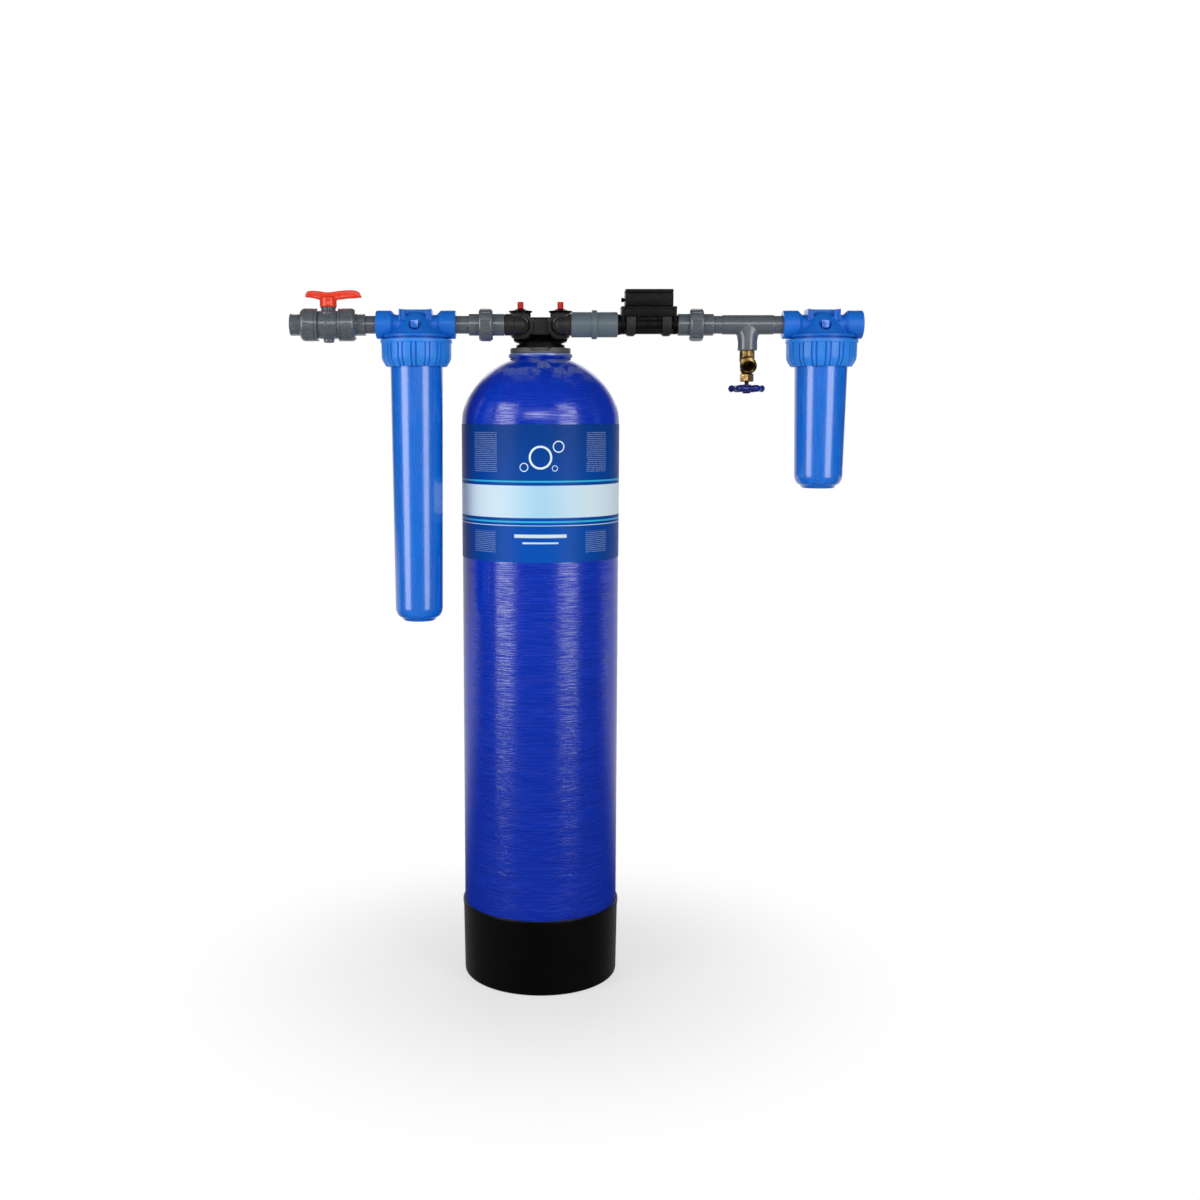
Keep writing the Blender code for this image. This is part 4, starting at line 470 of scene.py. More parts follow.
def eased(points, closed=True, cuts=4):
    """A profile with its corners eased. A corner with a third number is replaced by a curve from
    that far before it to that far after it: (1-t)^2 start + 2t(1-t) corner + t^2 end."""
    plain = np.array([point[:2] for point in points], float)
    count = len(points)
    part = np.linspace(0, 1, cuts)[:, None]
    made = []
    for index, (here, point) in enumerate(zip(plain, points)):
        if len(point) < 3 or not closed and index in (0, count - 1):
            made.append(here[None])
            continue
        back, on = plain[index - 1] - here, plain[(index + 1) % count] - here
        start = here + back * min(point[2] / np.linalg.norm(back), 0.5)
        end = here + on * min(point[2] / np.linalg.norm(on), 0.5)
        made.append((1 - part) ** 2 * start + 2 * part * (1 - part) * here + part ** 2 * end)
    return np.concatenate(made)


def bowed(points, count=8):
    """A smooth curve through points: the Catmull-Rom cubic between each pair of neighbours."""
    known = np.array(points, float)
    padded = np.concatenate([2 * known[:1] - known[1:2], known, 2 * known[-1:] - known[-2:-1]])
    part = np.arange(count)[:, None] / count
    before, start, end, after = padded[:-3], padded[1:-2], padded[2:-1], padded[3:]
    curve = (start[:, None] + part * (end - before)[:, None] / 2
             + part ** 2 * (before - 2.5 * start + 2 * end - after / 2)[:, None]
             + part ** 3 * (1.5 * (start - end) + (after - before) / 2)[:, None])
    return np.concatenate([curve.reshape(-1, 2), known[-1:]])


def filled(profile, step):
    """A profile with points added so that no two neighbours are further apart than step."""
    made = [profile[:1]]
    for start, end in zip(profile, profile[1:]):
        parts = max(1, math.ceil(np.linalg.norm(end - start) / step))
        made.append(start + (end - start) * np.linspace(0, 1, parts + 1)[1:, None])
    return np.concatenate(made)


def both_ways(half):
    """A profile that runs from its half's mirror image, below height 0, to that half."""
    return [(point[0], -point[1], *point[2:]) for point in reversed(half)] + half


def turned(profile, place=ORIGIN, axis=ALONG_Z, steps=96, fill=None, cuts=4, relief=None,
           core=ON_AXIS):
    """A profile of (radius, height), eased and filled, carried round an axis:
    radius * (cos a, sin a) at its height. One that starts on the axis also ends there, and any
    other is closed. Relief, a function of height and angle, is added to the radius outside the
    core."""
    closed = profile[0][0] > ON_AXIS
    profile = eased(profile, closed, cuts)
    if fill:
        profile = filled(profile, fill)
    radius, height = profile.T[:, :, None]
    angle = math.tau * np.arange(steps) / steps
    wide = np.repeat(radius, steps, 1)
    if relief:
        wide = wide + relief(height, angle[None, :]) * (wide > core)
    points = np.stack([wide * np.cos(angle), wide * np.sin(angle), np.repeat(height, steps, 1)], -1)
    shape = points.reshape(-1, 3), grid(len(radius), steps, closed, True)
    return moved(shape, axis, place)


def post(radius, start, end, place, axis=ALONG_Z, ease=0.0):
    """A plain round bar from start to end along its axis, with eased ends."""
    return turned([(0, start), (radius, start, ease), (radius, end, ease), (0, end)], place, axis,
                  64)


def slab(outline, low, high, ease, cuts=4):
    """A flat outline carried from low to high, its rims eased: the outline is drawn in by
    ease * (1 - sin t) while the height turns by ease * (1 - cos t)."""
    along = np.roll(outline, -1, 0) - np.roll(outline, 1, 0)
    along /= np.linalg.norm(along, axis=1)[:, None]
    outward = np.stack([along[:, 1], -along[:, 0]], -1)
    turn = np.linspace(0, QUARTER, cuts)
    inset, rise = ease * (1 - np.sin(turn)), ease * (1 - np.cos(turn))
    rows = [(far, low + up) for far, up in zip(inset, rise)]
    rows += [(far, high - up) for far, up in zip(inset[::-1], rise[::-1])]
    count = len(outline)
    points = np.concatenate([np.column_stack([outline - outward * far, np.full(count, tall)])
                             for far, tall in rows])
    faces = grid(len(rows), count, False, True)
    return points, faces + [list(range(count))[::-1], list(range(len(points) - count, len(points)))]


def pillow(start, end, corner, ease):
    """A block between two corners, its upright edges rounded by corner and its rims eased."""
    (left, front, low), (right, back, high) = np.sort([start, end], 0)
    outline = eased([(left, front, corner), (right, front, corner), (right, back, corner),
                     (left, back, corner)])
    return slab(outline, low, high, ease)


def moved(shape, turn=None, place=ORIGIN):
    """A shape turned so that its own Z points along turn, then moved."""
    points, faces = shape
    if turn:
        points = points @ np.array(Vector(turn).to_track_quat("Z", "Y").to_matrix()).T
    return points + np.array(place), faces


def mesh_of(name, shapes):
    """One mesh of several closed shapes, its doubles merged and its faces turned outwards."""
    points, faces, start = [], [], 0
    for shape_points, shape_faces in shapes:
        points.append(shape_points * MM)
        faces += [[corner + start for corner in face] for face in shape_faces]
        start += len(shape_points)
    data = bpy.data.meshes.new(name)
    data.from_pydata(np.concatenate(points), [], faces)
    work = bmesh.new()
    work.from_mesh(data)
    bmesh.ops.remove_doubles(work, verts=work.verts, dist=1e-7)
    bmesh.ops.dissolve_degenerate(work, edges=work.edges, dist=1e-8)
    bmesh.ops.recalc_face_normals(work, faces=work.faces)
    work.to_mesh(data)
    work.free()
    return data


def placed(name, data):
    """An object that carries data, linked to the scene."""
    made = bpy.data.objects.new(name, data)
    bpy.context.scene.collection.objects.link(made)
    return made


def welded(name, shapes, cuts=(), grain=1.0, soften=6):
    """One moulded skin round overlapping shapes. A voxel remesh joins them, the cuts are taken
    out, and a second one with a smoothing pass leaves every inner corner rounded."""
    body = placed(name, mesh_of(name, shapes))

    def weld():
        """Add a voxel remesh."""
        step = body.modifiers.new("weld", "REMESH")
        step.mode, step.voxel_size = "VOXEL", grain * MM

    weld()
    tools = [placed("tool", mesh_of("tool", [shape])) for shape in cuts]
    for tool in tools:
        step = body.modifiers.new("cut", "BOOLEAN")
        step.operation, step.solver, step.object = "DIFFERENCE", "MANIFOLD", tool
    if cuts:
        weld()
    body.modifiers.new("soften", "SMOOTH").iterations = soften
    graph = bpy.context.evaluated_depsgraph_get()
    data = bpy.data.meshes.new_from_object(body.evaluated_get(graph))
    for spare in (body, *tools):
        bpy.data.objects.remove(spare, do_unlink=True)
    points = np.array([vertex.co for vertex in data.vertices]) / MM
    faces = [list(face.vertices) for face in data.polygons]
    bpy.data.meshes.remove(data)
    return points, faces


FINISHES = {}


def dress(node, *shapes, sharp=38, slot=None):
    """One piece in place of its CAD node: it takes its body, its slot and its finish."""
    name = f"{node}_form"
    piece = placed(name, mesh_of(name, shapes))
    piece.data.shade_smooth()
    piece.data.set_sharp_from_angle(angle=math.radians(sharp))
    slot = slot or SLOT_OF[node]
    piece.data.materials.append(FINISHES[slot])
    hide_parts(node)
    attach(piece, BODY_OF[node])


def ramp(value, start, end):
    """Smooth step from 0 at start to 1 at end: 3t^2 - 2t^3."""
    part = np.clip((value - start) / (end - start), 0, 1)
    return part * part * (3 - 2 * part)


def notched(count, width, depth, low, high, soft=1.5, shift=0.0):
    """Relief of grooves along the axis: each as wide as width, an angle, and run out softly
    between the heights low and high."""
    def relief(height, angle):
        pitch = math.tau / count
        off = np.abs((angle - shift + pitch / 2) % pitch - pitch / 2)
        groove = 1 - ramp(off, width / 2 * 0.55, width / 2)
        return -depth * groove * ramp(height, low, low + soft) * (1 - ramp(height, high - soft, high))
    return relief


def flats(count, radius, part=1.0, low=-math.inf, high=math.inf):
    """Relief that turns a circle into flats between two heights:
    part * radius * (cos(pi/n) / cos(a) - 1)."""
    half = math.pi / count

    def relief(height, angle):
        off = (angle % (2 * half)) - half
        cut = part * radius * (math.cos(half) / np.cos(off) - 1)
        return cut * (height >= low) * (height <= high)
    return relief


def line(x, up=0.0):
    """The place on the pipe line at x, or above it."""
    return (x, LINE_Y, LINE_Z + up)


def middle_of(node):
    """The place on the pipe line at a node's middle."""
    return line(sum(ends(node)) / 2)


def facing(node, direction):
    """Where a turned node on the pipe line starts, its axis and its length."""
    low, high = ends(node)
    return line(low if direction > 0 else high), (direction, 0, 0), high - low


def tank_shell():
    """The wound shell. Outside: a quarter ellipse, a straight wall, a dome of
    (R cos t, H sin t) and a rolled rim; inside, the same less the wall. The wall swells and
    sinks in slanting bands: relief * (0.6 sin(height / 34 mm) + 0.4 sin(height / 19 mm))."""
    relief = bpy.context.scene.filter_tank.relief / MM
    foot, top = ends("tank_shell", 2)
    start, neck = foot + SHELL_FOOT_RISE, top - NECK_RIM
    last = math.acos(NECK_RADIUS / TANK_RADIUS)
    rise = (neck - SHOULDER) / math.sin(last)
    low, high = np.linspace(0, QUARTER, 24), np.linspace(0, last, 48)
    wall = np.linspace(start, SHOULDER, 180)[1:-1]

    def side(inset):
        """One side of the shell, moved in by inset."""
        radius = TANK_RADIUS - inset
        return np.concatenate([
            np.column_stack([np.sin(low) * radius, start - np.cos(low) * (SHELL_FOOT_RISE - inset)]),
            np.column_stack([np.full(len(wall), radius), wall]),
            np.column_stack([np.cos(high) * radius, SHOULDER + np.sin(high) * (rise - inset)])])

    inner = side(TANK_WALL)
    inner = inner[(inner[:, 0] > NECK_BORE) | (inner[:, 1] < SHOULDER)]
    rim = eased([(NECK_RADIUS, neck), (NECK_RIM_RADIUS, neck + NECK_RIM * 0.35, 1.2),
                 (NECK_RIM_RADIUS, top, 2.2), (NECK_BORE, top, 0.6), (NECK_BORE, neck)],
                False, 6)[1:]

    def bands(height, angle):
        """Slanting bands of the winding."""
        return relief * (0.6 * np.sin(math.tau * height / 34 + 2 * np.sin(angle))
                         + 0.4 * np.sin(math.tau * height / 19 + 1.3 * np.cos(2 * angle)))

    return turned(np.concatenate([side(0), rim, inner[::-1]]), steps=192,
                  relief=bands)


def tank_boot():
    """The moulded base: a cup that widens upwards to a rounded lip."""
    _, top = ends("tank_base", 2)
    return turned([
        (0, 0), (BOOT_FOOT, 0, 7), (BOOT_TOP - 1.2, top * 0.90), (BOOT_TOP, top * 0.955, 3),
        (BOOT_TOP, top, 2.2), (BOOT_BORE, top, 1.2), (BOOT_BORE, BOOT_SEAT, 4),
        (BOOT_FOOT - 5, BOOT_FLOOR, 10), (0, BOOT_FLOOR)], steps=192, cuts=7)


def tank_label():
    """A sheet bent round the tank: radius * (cos a, sin a) over its arc, with a thickness."""
    low, high = ends("tank_label", 2)
    count = 200
    inner, outer = TANK_RADIUS + 0.2, TANK_RADIUS + 0.6
    points = np.concatenate([
        np.column_stack([arc(radius, -QUARTER - LABEL_ARC / 2, -QUARTER + LABEL_ARC / 2, count),
                         np.full(count, height)])
        for radius, height in ((outer, low), (outer, high), (inner, high), (inner, low))])
    return points, grid(4, count, True, False) + [[row * count + end for row in range(4)]
                                                  for end in (0, count - 1)]


def collar_ring():
    """The neck collar: radius + lobes * (1 - cos 4a) / 2, with a wing on either side and the
    ring lower between them, at the front and the back."""
    low, high = ends("neck_collar", 2)
    face, wing, inner = high - COLLAR_FLANGE, high - COLLAR_WING, 49.0

    def lobes(height, angle):
        """Four lobes round the flange."""
        return COLLAR_LOBE * (1 - np.cos(4 * angle)) / 2 * (height > face - 0.1)

    points, faces = turned([
        (COLLAR_BORE, low), (COLLAR_SPIGOT, low, 1), (COLLAR_SPIGOT, face),
        (COLLAR_RADIUS, face, 0.8), (COLLAR_RADIUS, wing), (COLLAR_RADIUS, high, 1.2),
        (inner, high), (inner - 0.2, high), (COLLAR_BORE, high)], steps=288, fill=3, relief=lobes,
        core=inner + 0.5)
    off = np.abs(np.abs(np.arctan2(points[:, 1], points[:, 0])) - QUARTER)
    reach = np.hypot(points[:, 0], points[:, 1])
    sunk = (1 - ramp(off, *np.radians((15, 23)))) * ramp(reach, inner - 0.1, inner + 0.4)
    points[:, 2] -= np.maximum(points[:, 2] - wing, 0) * sunk
    return points, faces


def head_of_tank():
    """The black head: its flanges and groove, a waist, and the block that carries the ports."""
    (left, _, low), (right, back, high) = box("tank_head")
    base = ends("neck_collar", 2)[1] + 0.3
    block, front = LINE_Z - 26, -18
    stem = turned([
        (0, low), (32.5, low, 0.8), (32.5, base), (47.0, base, 0.7), (47.0, base + 6.2, 0.9),
        (41.8, base + 6.6), (41.8, base + 10.0), (45.5, base + 10.3), (47.2, base + 11.8, 0.4),
        (45.5, base + 14.0, 0.6), (40.5, base + 15.2, 1), (39.0, block + 3), (0, block + 3)],
        steps=128)
    body = pillow((left, front, block), (right, back, high - 1.2), 6, 3)
    lid = pillow((left + 10, front + 6, high - 4), (right - 10, back - 6, high), 5, 0.6)
    ribs = [pillow((x - 1.2, back - 3, block + 6), (x + 1.2, back, high - 6), 0.5, 0.8)
            for x in np.linspace(-36, 36, 5)]
    return [stem, body, lid, *ribs]


class FILTER_OT_tank(bpy.types.Operator):
    """Build the tank's shell, its boot and its label"""
    bl_idname = "filter.tank"
    bl_label = "Tank"

    def execute(self, context):
        dress("tank_shell", tank_shell(), sharp=50)
        dress("tank_base", tank_boot())
        dress("tank_label", tank_label())
        return {"FINISHED"}


class FILTER_OT_head(bpy.types.Operator):
    """Build the neck collar and the tank's head"""
    bl_idname = "filter.head"
    bl_label = "Collar and head"

    def execute(self, context):
        dress("neck_collar", collar_ring())
        dress("tank_head", *head_of_tank())
        return {"FINISHED"}


def bypass_form():
    """The bypass: two plug housings on a flat block, each with a port to the front and a spigot to
    the back, welded into one moulding."""
    shapes = [pillow((-PORT_X, BYPASS_Y - 12.5, LINE_Z - 16), (PORT_X, BYPASS_Y + 12.5, LINE_Z + 14),
                     3, 2)]
    for side in (-1, 1):
        place = (side * PORT_X, BYPASS_Y, LINE_Z)
        shapes += [
            turned([(0, -22.5), (15.0, -22.5, 2), (18.2, -19.0, 2), (18.2, 17.5, 1), (19.6, 19.0, 1),
                    (19.6, 25.0, 0.8), (0, 25.0)], place),
            post(20.5, 4, 22.5, place, AGAINST_Y, 1),
            post(13.0, 4, 29.0, place, ALONG_Y)]
    return welded("bypass", shapes, grain=0.9, soften=4)


def cap_form(x):
    """A plug's cap: a thin flange, a short cone and a collar under the knob."""
    return turned([(4.7, 21.5), (14.0, 21.5), (14.0, 25.3), (19.6, 25.3, 0.4), (22.5, 27.5, 0.6),
                   (22.5, 29.0, 0.7), (15.0, 29.8, 2), (11.2, 31.2, 1.5), (8.5, 32.8, 0.6),
                   (4.7, 32.8)], (x, BYPASS_Y, LINE_Z))


def knob_form(node, x):
    """A red knob with shallow grip grooves and a rounded top."""
    low, high = ends(node, 2)
    return turned([
        (0, low + 6), (4.6, low + 6), (4.6, low), (5.8, low, 0.4), (5.8, high - 0.6, 1),
        (5.0, high, 0.8), (0, high - 0.4)], (x, BYPASS_Y, 0), ALONG_Z, 112, 1.2,
        relief=notched(14, 0.16, 0.3, low + 1.5, high - 2), core=4.9)


def elbow_form(name, side):
    """An elbow: a ball at its corner, a leg back to the port and a stouter arm to the side."""
    arm_end = max(abs(value - side * PORT_X) for value in ends(f"{name}_elbow"))
    place = line(side * PORT_X)
    radius, flange = 15.5, 20.0
    ball = turned(arc(radius, -QUARTER, QUARTER, 24), place, AGAINST_Y, 64)
    arm = turned([(0, 0), (radius, 0), (16.5, 9.5, 3), (flange, 12.5, 1.5), (flange, 29.0, 1.2),
                  (PIPE_RADIUS, 29.0), (PIPE_RADIUS, arm_end), (0, arm_end)], place, (side, 0, 0))
    leg = turned([(0, 0), (radius, 0), (radius, 29.2), (flange, 29.2, 0.5), (flange, 32.7, 0.5),
                  (0, 32.7)], place, ALONG_Y)
    return welded(name, [ball, arm, leg], grain=0.8, soften=3)


def elbow_nut_form(name, side):
    """An elbow's nut, scalloped into eight lobes, with a recess round the elbow's leg."""
    low, high = ends(f"{name}_elbow_nut", 1)
    long = high - low
    lip = long - 7.6

    def lobes(height, angle):
        """Eight lobes on the outside: 1.6 mm * ((1 - cos 8a) / 2) ^ 0.6."""
        return 1.6 * (0.5 - 0.5 * np.cos(8 * angle)) ** 0.6 + 0 * height

    outside = filled(eased([(16.0, 3.2), (17.6, 3.0, 0.4), (18.0, 0, 0.6), (22.2, 0, 1.5),
                            (24.2, 2.4, 1.5), (24.2, long, 1), (20.9, long)], False), 1.6)
    return turned([*outside, (20.9, lip), (15.9, lip), (15.9, 3.4)], (side * PORT_X, low, LINE_Z),
                  ALONG_Y, 160, relief=lobes, core=21.1)


class FILTER_OT_bypass(bpy.types.Operator):
    """Build the bypass with its caps, knobs, elbows and elbow nuts"""
    bl_idname = "filter.bypass"
    bl_label = "Bypass and elbows"

    def execute(self, context):
        dress("bypass_body", bypass_form())
        for name, side in (("inlet", -1), ("outlet", 1)):
            dress(f"{name}_bypass_cap", cap_form(side * PORT_X))
            dress(f"{name}_bypass_knob", knob_form(f"{name}_bypass_knob", side * PORT_X))
            dress(f"{name}_elbow", elbow_form(name, side))
            dress(f"{name}_elbow_nut", elbow_nut_form(name, side))
        return {"FINISHED"}


def socket_form(node, direction, seat, relief=None):
    """A pipe socket: its bore and mouth, its barrel, and the collar that a nut goes over."""
    place, axis, long = facing(node, direction)
    return turned([
        (SOCKET_RADIUS, 0.8), (SOCKET_RADIUS + 0.8, 0), (TAIL_RADIUS, 0, 1.6), (TAIL_RADIUS, seat),
        (NUT_COLLAR_RADIUS, seat, 0.5), (NUT_COLLAR_RADIUS, long, 0.5), (WATER_RADIUS, long),
        (WATER_RADIUS, SOCKET_DEPTH), (SOCKET_RADIUS, SOCKET_DEPTH)], place, axis, 144, 3,
        relief=relief, core=18.5)


def union_nut_form(node, direction):
    """A union's nut: twelve flats with shallow steps between them, under rounded shoulders."""
    place, axis, long = facing(node, direction)
    faces = flats(12, NUT_RADIUS, 0.9, 2.0, long - 1.5)
    steps = notched(12, 0.05, 0.7, 3.5, long - 3, shift=math.pi / 12)

    def relief(height, angle):
        """Flats that run out at both shoulders, and the steps."""
        return (faces(height, angle) * ramp(height, 2, 5) * (1 - ramp(height, long - 5, long - 2))
                + steps(height, angle))

    return turned([
        (NUT_BORE, 0), (26.2, 0, 1), (NUT_RADIUS, 4.2, 3), (NUT_RADIUS, long - 3.5, 3),
        (28.2, long, 1), (NUT_MOUTH, long), (NUT_MOUTH, NUT_LIP), (NUT_BORE, NUT_LIP)],
        place, axis, 288, 2, relief=relief, core=25.5)


def valve_nut_form(node, direction):
    """A ball valve's nut: a smooth drum with a ring of short grooves and a narrow step."""
    place, axis, long = facing(node, direction)
    depth = bpy.context.scene.filter_pipe.groove / MM
    return turned([
        (NUT_BORE, 0), (25.8, 0, 1.2), (29.0, 3.0, 2), (NUT_RADIUS, 6.2, 2), (NUT_RADIUS, 26.2, 0.4),
        (29.2, 26.6), (29.2, 27.6), (NUT_RADIUS, 28.0, 0.4), (NUT_RADIUS, long - 0.8, 0.8),
        (28.0, long, 0.8), (NUT_MOUTH, long), (NUT_MOUTH, NUT_LIP), (NUT_BORE, NUT_LIP)],
        place, axis, 320, 1.2, relief=notched(16, 0.085, depth, 8.0, 21.5, 1.6), core=25.5)


def nipple_form(node):
    """A length of extruded pipe."""
    low, high = ends(node)
    half = (high - low) / 2
    return turned(both_ways([(PIPE_RADIUS, half, 0.5), (PIPE_BORE, half, 0.5)]), middle_of(node),
                  ALONG_X)


def coupling_form():
    """The long coupling: two bevelled barrels with a raised ring between them."""
    place, axis, long = facing("meter_coupling", 1)
    half, barrel, ring = long / 2, 23.3, 26.7
    return turned([
        (TAIL_RADIUS, 0.5), (21.5, 0, 0.8), (barrel, 1.8, 1.2), (barrel, half - 5.2, 1.2),
        (ring, half - 4.6, 1.4), (ring, half + 4.6, 1.4), (barrel, half + 5.2, 1.2),
        (barrel, long - 1.8, 1.2), (21.5, long, 0.8), (SOCKET_RADIUS, long),
        (SOCKET_RADIUS, long - SOCKET_DEPTH), (WATER_RADIUS, long - SOCKET_DEPTH),
        (WATER_RADIUS, 21.5), (SOCKET_RADIUS, 21.5), (SOCKET_RADIUS, 10.5), (TAIL_RADIUS, 10.5)],
        place, axis, 144)


def tee_form():
    """The tee: its run, and a branch that flares into it along the run and is no deeper than it."""
    low, high = ends("tee")
    half, radius = (high - low) / 2, 18.2
    branch_radius, flare_radius, mouth = 18.4, 25.0, -48.0
    place = middle_of("tee")
    run = turned(both_ways([(radius, half, 1.4), (0, half)]), place, ALONG_X, 128)
    flare = bowed([(flare_radius, -10), (22.2, -16.0), (20.0, -20.5), (branch_radius, -29.0)])
    points, faces = turned([
        (0, 0), (flare_radius, 0), *flare, (branch_radius, -31.0), (branch_radius, mouth, 1.2),
        (0, mouth)], steps=128)
    points[:, 1] *= np.minimum(1, branch_radius / np.maximum(np.hypot(*points.T[:2]), 0.001))
    bores = [post(SOCKET_RADIUS, side * half - SOCKET_DEPTH, side * half + SOCKET_DEPTH, place, ALONG_X)
             for side in (-1, 1)]
    return welded("tee", [run, (points + place, faces)], bores, 1.0, 5)


class FILTER_OT_line(bpy.types.Operator):
    """Build the pipe line: nipples, unions, coupling and tee"""
    bl_idname = "filter.line"
    bl_label = "Pipe line"

    def execute(self, context):
        for node in ("prefilter_outlet_nipple", "prefilter_inlet_nipple", "tee_inlet_nipple",
                     "tee_outlet_nipple"):
            dress(node, nipple_form(node))
        for name, direction in (("inlet_union", -1), ("outlet_union", 1)):
            for end, way, seat in (("collar_end", direction, 26.8), ("thread_end", -direction, 19.0)):
                dress(f"{name}_{end}", socket_form(f"{name}_{end}", way, seat))
            dress(f"{name}_nut", union_nut_form(f"{name}_nut", direction), sharp=24)
        dress("meter_coupling", coupling_form())
        dress("tee", tee_form())
        return {"FINISHED"}


def meter_body_form():
    """The meter's body: a tube with end rings, under a shoulder block with pillars and rails."""
    (first, _, _), (last, _, top) = box("meter_body")
    start, end = first + 10.7, last - 10.7
    left, right = start + 6, end - 3
    tube = turned([
        (WATER_RADIUS, first), (PIPE_RADIUS, first), (PIPE_RADIUS, start), (19.0, start, 0.6),
        (19.0, start + 4.8, 0.6), (17.8, start + 5), (17.8, left + 6), (17.2, left + 8),
        (17.2, right - 8), (17.8, right - 6), (17.8, end - 1, 0.6), (PIPE_RADIUS, end - 0.2),
        (PIPE_RADIUS, last), (WATER_RADIUS, last)], line(0), ALONG_X)
    front, back = LINE_Y - 22, LINE_Y + 22
    block = pillow((left, front + 1.6, LINE_Z + 13.4), (right, back - 1.6, top), 2, 0.8)
    rail = pillow((left, front, top - 4.2), (right, back, top), 2, 0.8)
    skirt = pillow((left + 6, LINE_Y - 15, LINE_Z - 16.8), (right - 6, LINE_Y + 15, LINE_Z + 15), 2, 2)
    pillars = [pillow((x, front - 0.2, LINE_Z + 2), (x + wide, back + 0.2, top - 1), 1, 0.6)
               for x, wide in ((left + 0.2, 5), (left + 30, 2.4), ((left + right) / 2 - 1.2, 2.4),
                               (right - 33, 2.4), (right - 5.2, 5))]
    return [tube, block, rail, skirt, *pillars]


def meter_housing_form():
    """The meter's electronics box, with a foot, a plate in front and a cable gland on its inlet
    side."""
    (edge, front, low), (right, back, high) = box("meter_housing")
    left = edge + 6.5
    body = pillow((left, front, low), (right, back, high), 3, 0.8)
    foot = pillow((left - 0.6, front, low), (right, back, low + 2.2), 3, 0.6)
    plate = pillow((left + 14, front - 0.3, low + 4.5), (right - 12, front + 1, high - 3), 0.8, 0.4)
    gland = turned([(0, -2), (2.6, -2), (2.6, 1.6), (4.0, 1.9, 0.4), (4.0, 6.5, 0.6), (2.2, 6.5),
                    (1.8, 5), (0, 5)], (left, LINE_Y, low + 12.5), AGAINST_X, 48)
    return [body, foot, plate, gland]


def meter_lid_form():
    """The lid over the electronics, with a seam groove at its foot."""
    (left, front, low), (right, back, high) = box("meter_lid")
    return [pillow((left, front, low + 0.6), (right, back, high), 3, 1.2),
            pillow((left + 0.8, front + 0.8, low), (right - 0.8, back - 0.8, high - 2), 3, 0.2)]


def clip_form(node):
    """A retaining clip: a saddle open at the top, a broad band over a narrower tongue."""
    (left, _, low), (right, back, high) = box(node)
    half, deep, rise, drop = (right - left) / 2, back - LINE_Y, high - LINE_Z, LINE_Z - low
    inner = 18.8
    outer = arc(deep, math.pi, math.tau, 40)
    outer[:, 1] = np.maximum(outer[:, 1] * 0.99, -drop * 0.90)
    outline = np.array([(-deep, rise), *outer, (deep, rise), (inner, rise),
                        *arc(inner, math.tau, math.pi, 40), (-inner, rise)])
    band = slab(outline, -half, half, 0.8)
    tongue = pillow((-10.5, -drop, -half * 0.72), (10.5, -inner - 0.6, half * 0.72), 2, 0.8)
    return [moved(shape, ALONG_X, middle_of(node)) for shape in (band, tongue)]


class FILTER_OT_meter(bpy.types.Operator):
    """Build the flow meter with its lid and clips"""
    bl_idname = "filter.meter"
    bl_label = "Flow meter"

    def execute(self, context):
        dress("meter_body", *meter_body_form())
        dress("meter_housing", *meter_housing_form())
        dress("meter_lid", *meter_lid_form())
        for node in ("meter_inlet_clip", "meter_outlet_clip"):
            dress(node, *clip_form(node))
        return {"FINISHED"}


DRAIN_TOP = -48.3


def drain_axis(height=0.0):
    """The place on the drain valve's axis at a height."""
    return (sum(ends("drain_stem")) / 2, LINE_Y, height)


def drain_body_form():
    """The brass body: an eight-sided shank, a barrel, and a spout that leans forward and down
    with a rolling thread of relief * sin(height / pitch - angle)."""
    top, shank_radius = DRAIN_TOP, 14.2
    place = drain_axis(LINE_Z)
    shank = turned([
        (0, top - 20), (shank_radius, top - 20, 1), (shank_radius, top, 0.8), (12.5, top),
        (12.5, top + 12.7, 1), (0, top + 12.7)], place, ALONG_Z, 96, 3,
        relief=flats(8, shank_radius, 0.8, top - 19.5, top - 0.5))
    barrel = turned([
        (0, top - 48.2), (9.5, top - 48.2), (9.5, top - 41), (11.8, top - 40, 2),
        (12.8, top - 34, 4), (13.4, top - 23, 6), (12.8, top - 15, 2), (0, top - 15)],
        place, cuts=6)
    lean = math.radians(35)
    way = (0, -math.cos(lean), -math.sin(lean))
    at = drain_axis(LINE_Z + top - 14.5)
    neck = turned(bowed([(0, -4), (12.8, -2), (12.1, 7), (11.8, 13), (12.2, 17.0), (0, 17.2)]),
                  at, way)
    (left, _, low), (right, _, high) = box("drain_washer")
    chamber = post((right - left) / 2 + 1.2, low - 8, high + 1.2, drain_axis())
    body = welded("drain", [barrel, neck], [post(9.0, 4, 30, at, way), chamber], 0.7, 4)

    def thread(height, angle):
        """A helical thread: its crest climbs one pitch of 2.2 mm a turn."""
        wave = np.sin(math.tau * height / 2.2 - angle) * 0.45
        return wave * ramp(height, 18.0, 19.2) * (1 - ramp(height, 27.8, 28.6))

    hose = turned([(9.0, 16.8), (14.2, 16.8, 0.8), (15.0, 18.0), (15.0, 28.4), (14.2, 29.0, 0.4),
                   (10.8, 29.0, 0.6), (9.8, 27.0), (9.0, 22.0)], at, way, 72, 0.28,
                  relief=thread, core=12.8)
    return [shank, body, hose]


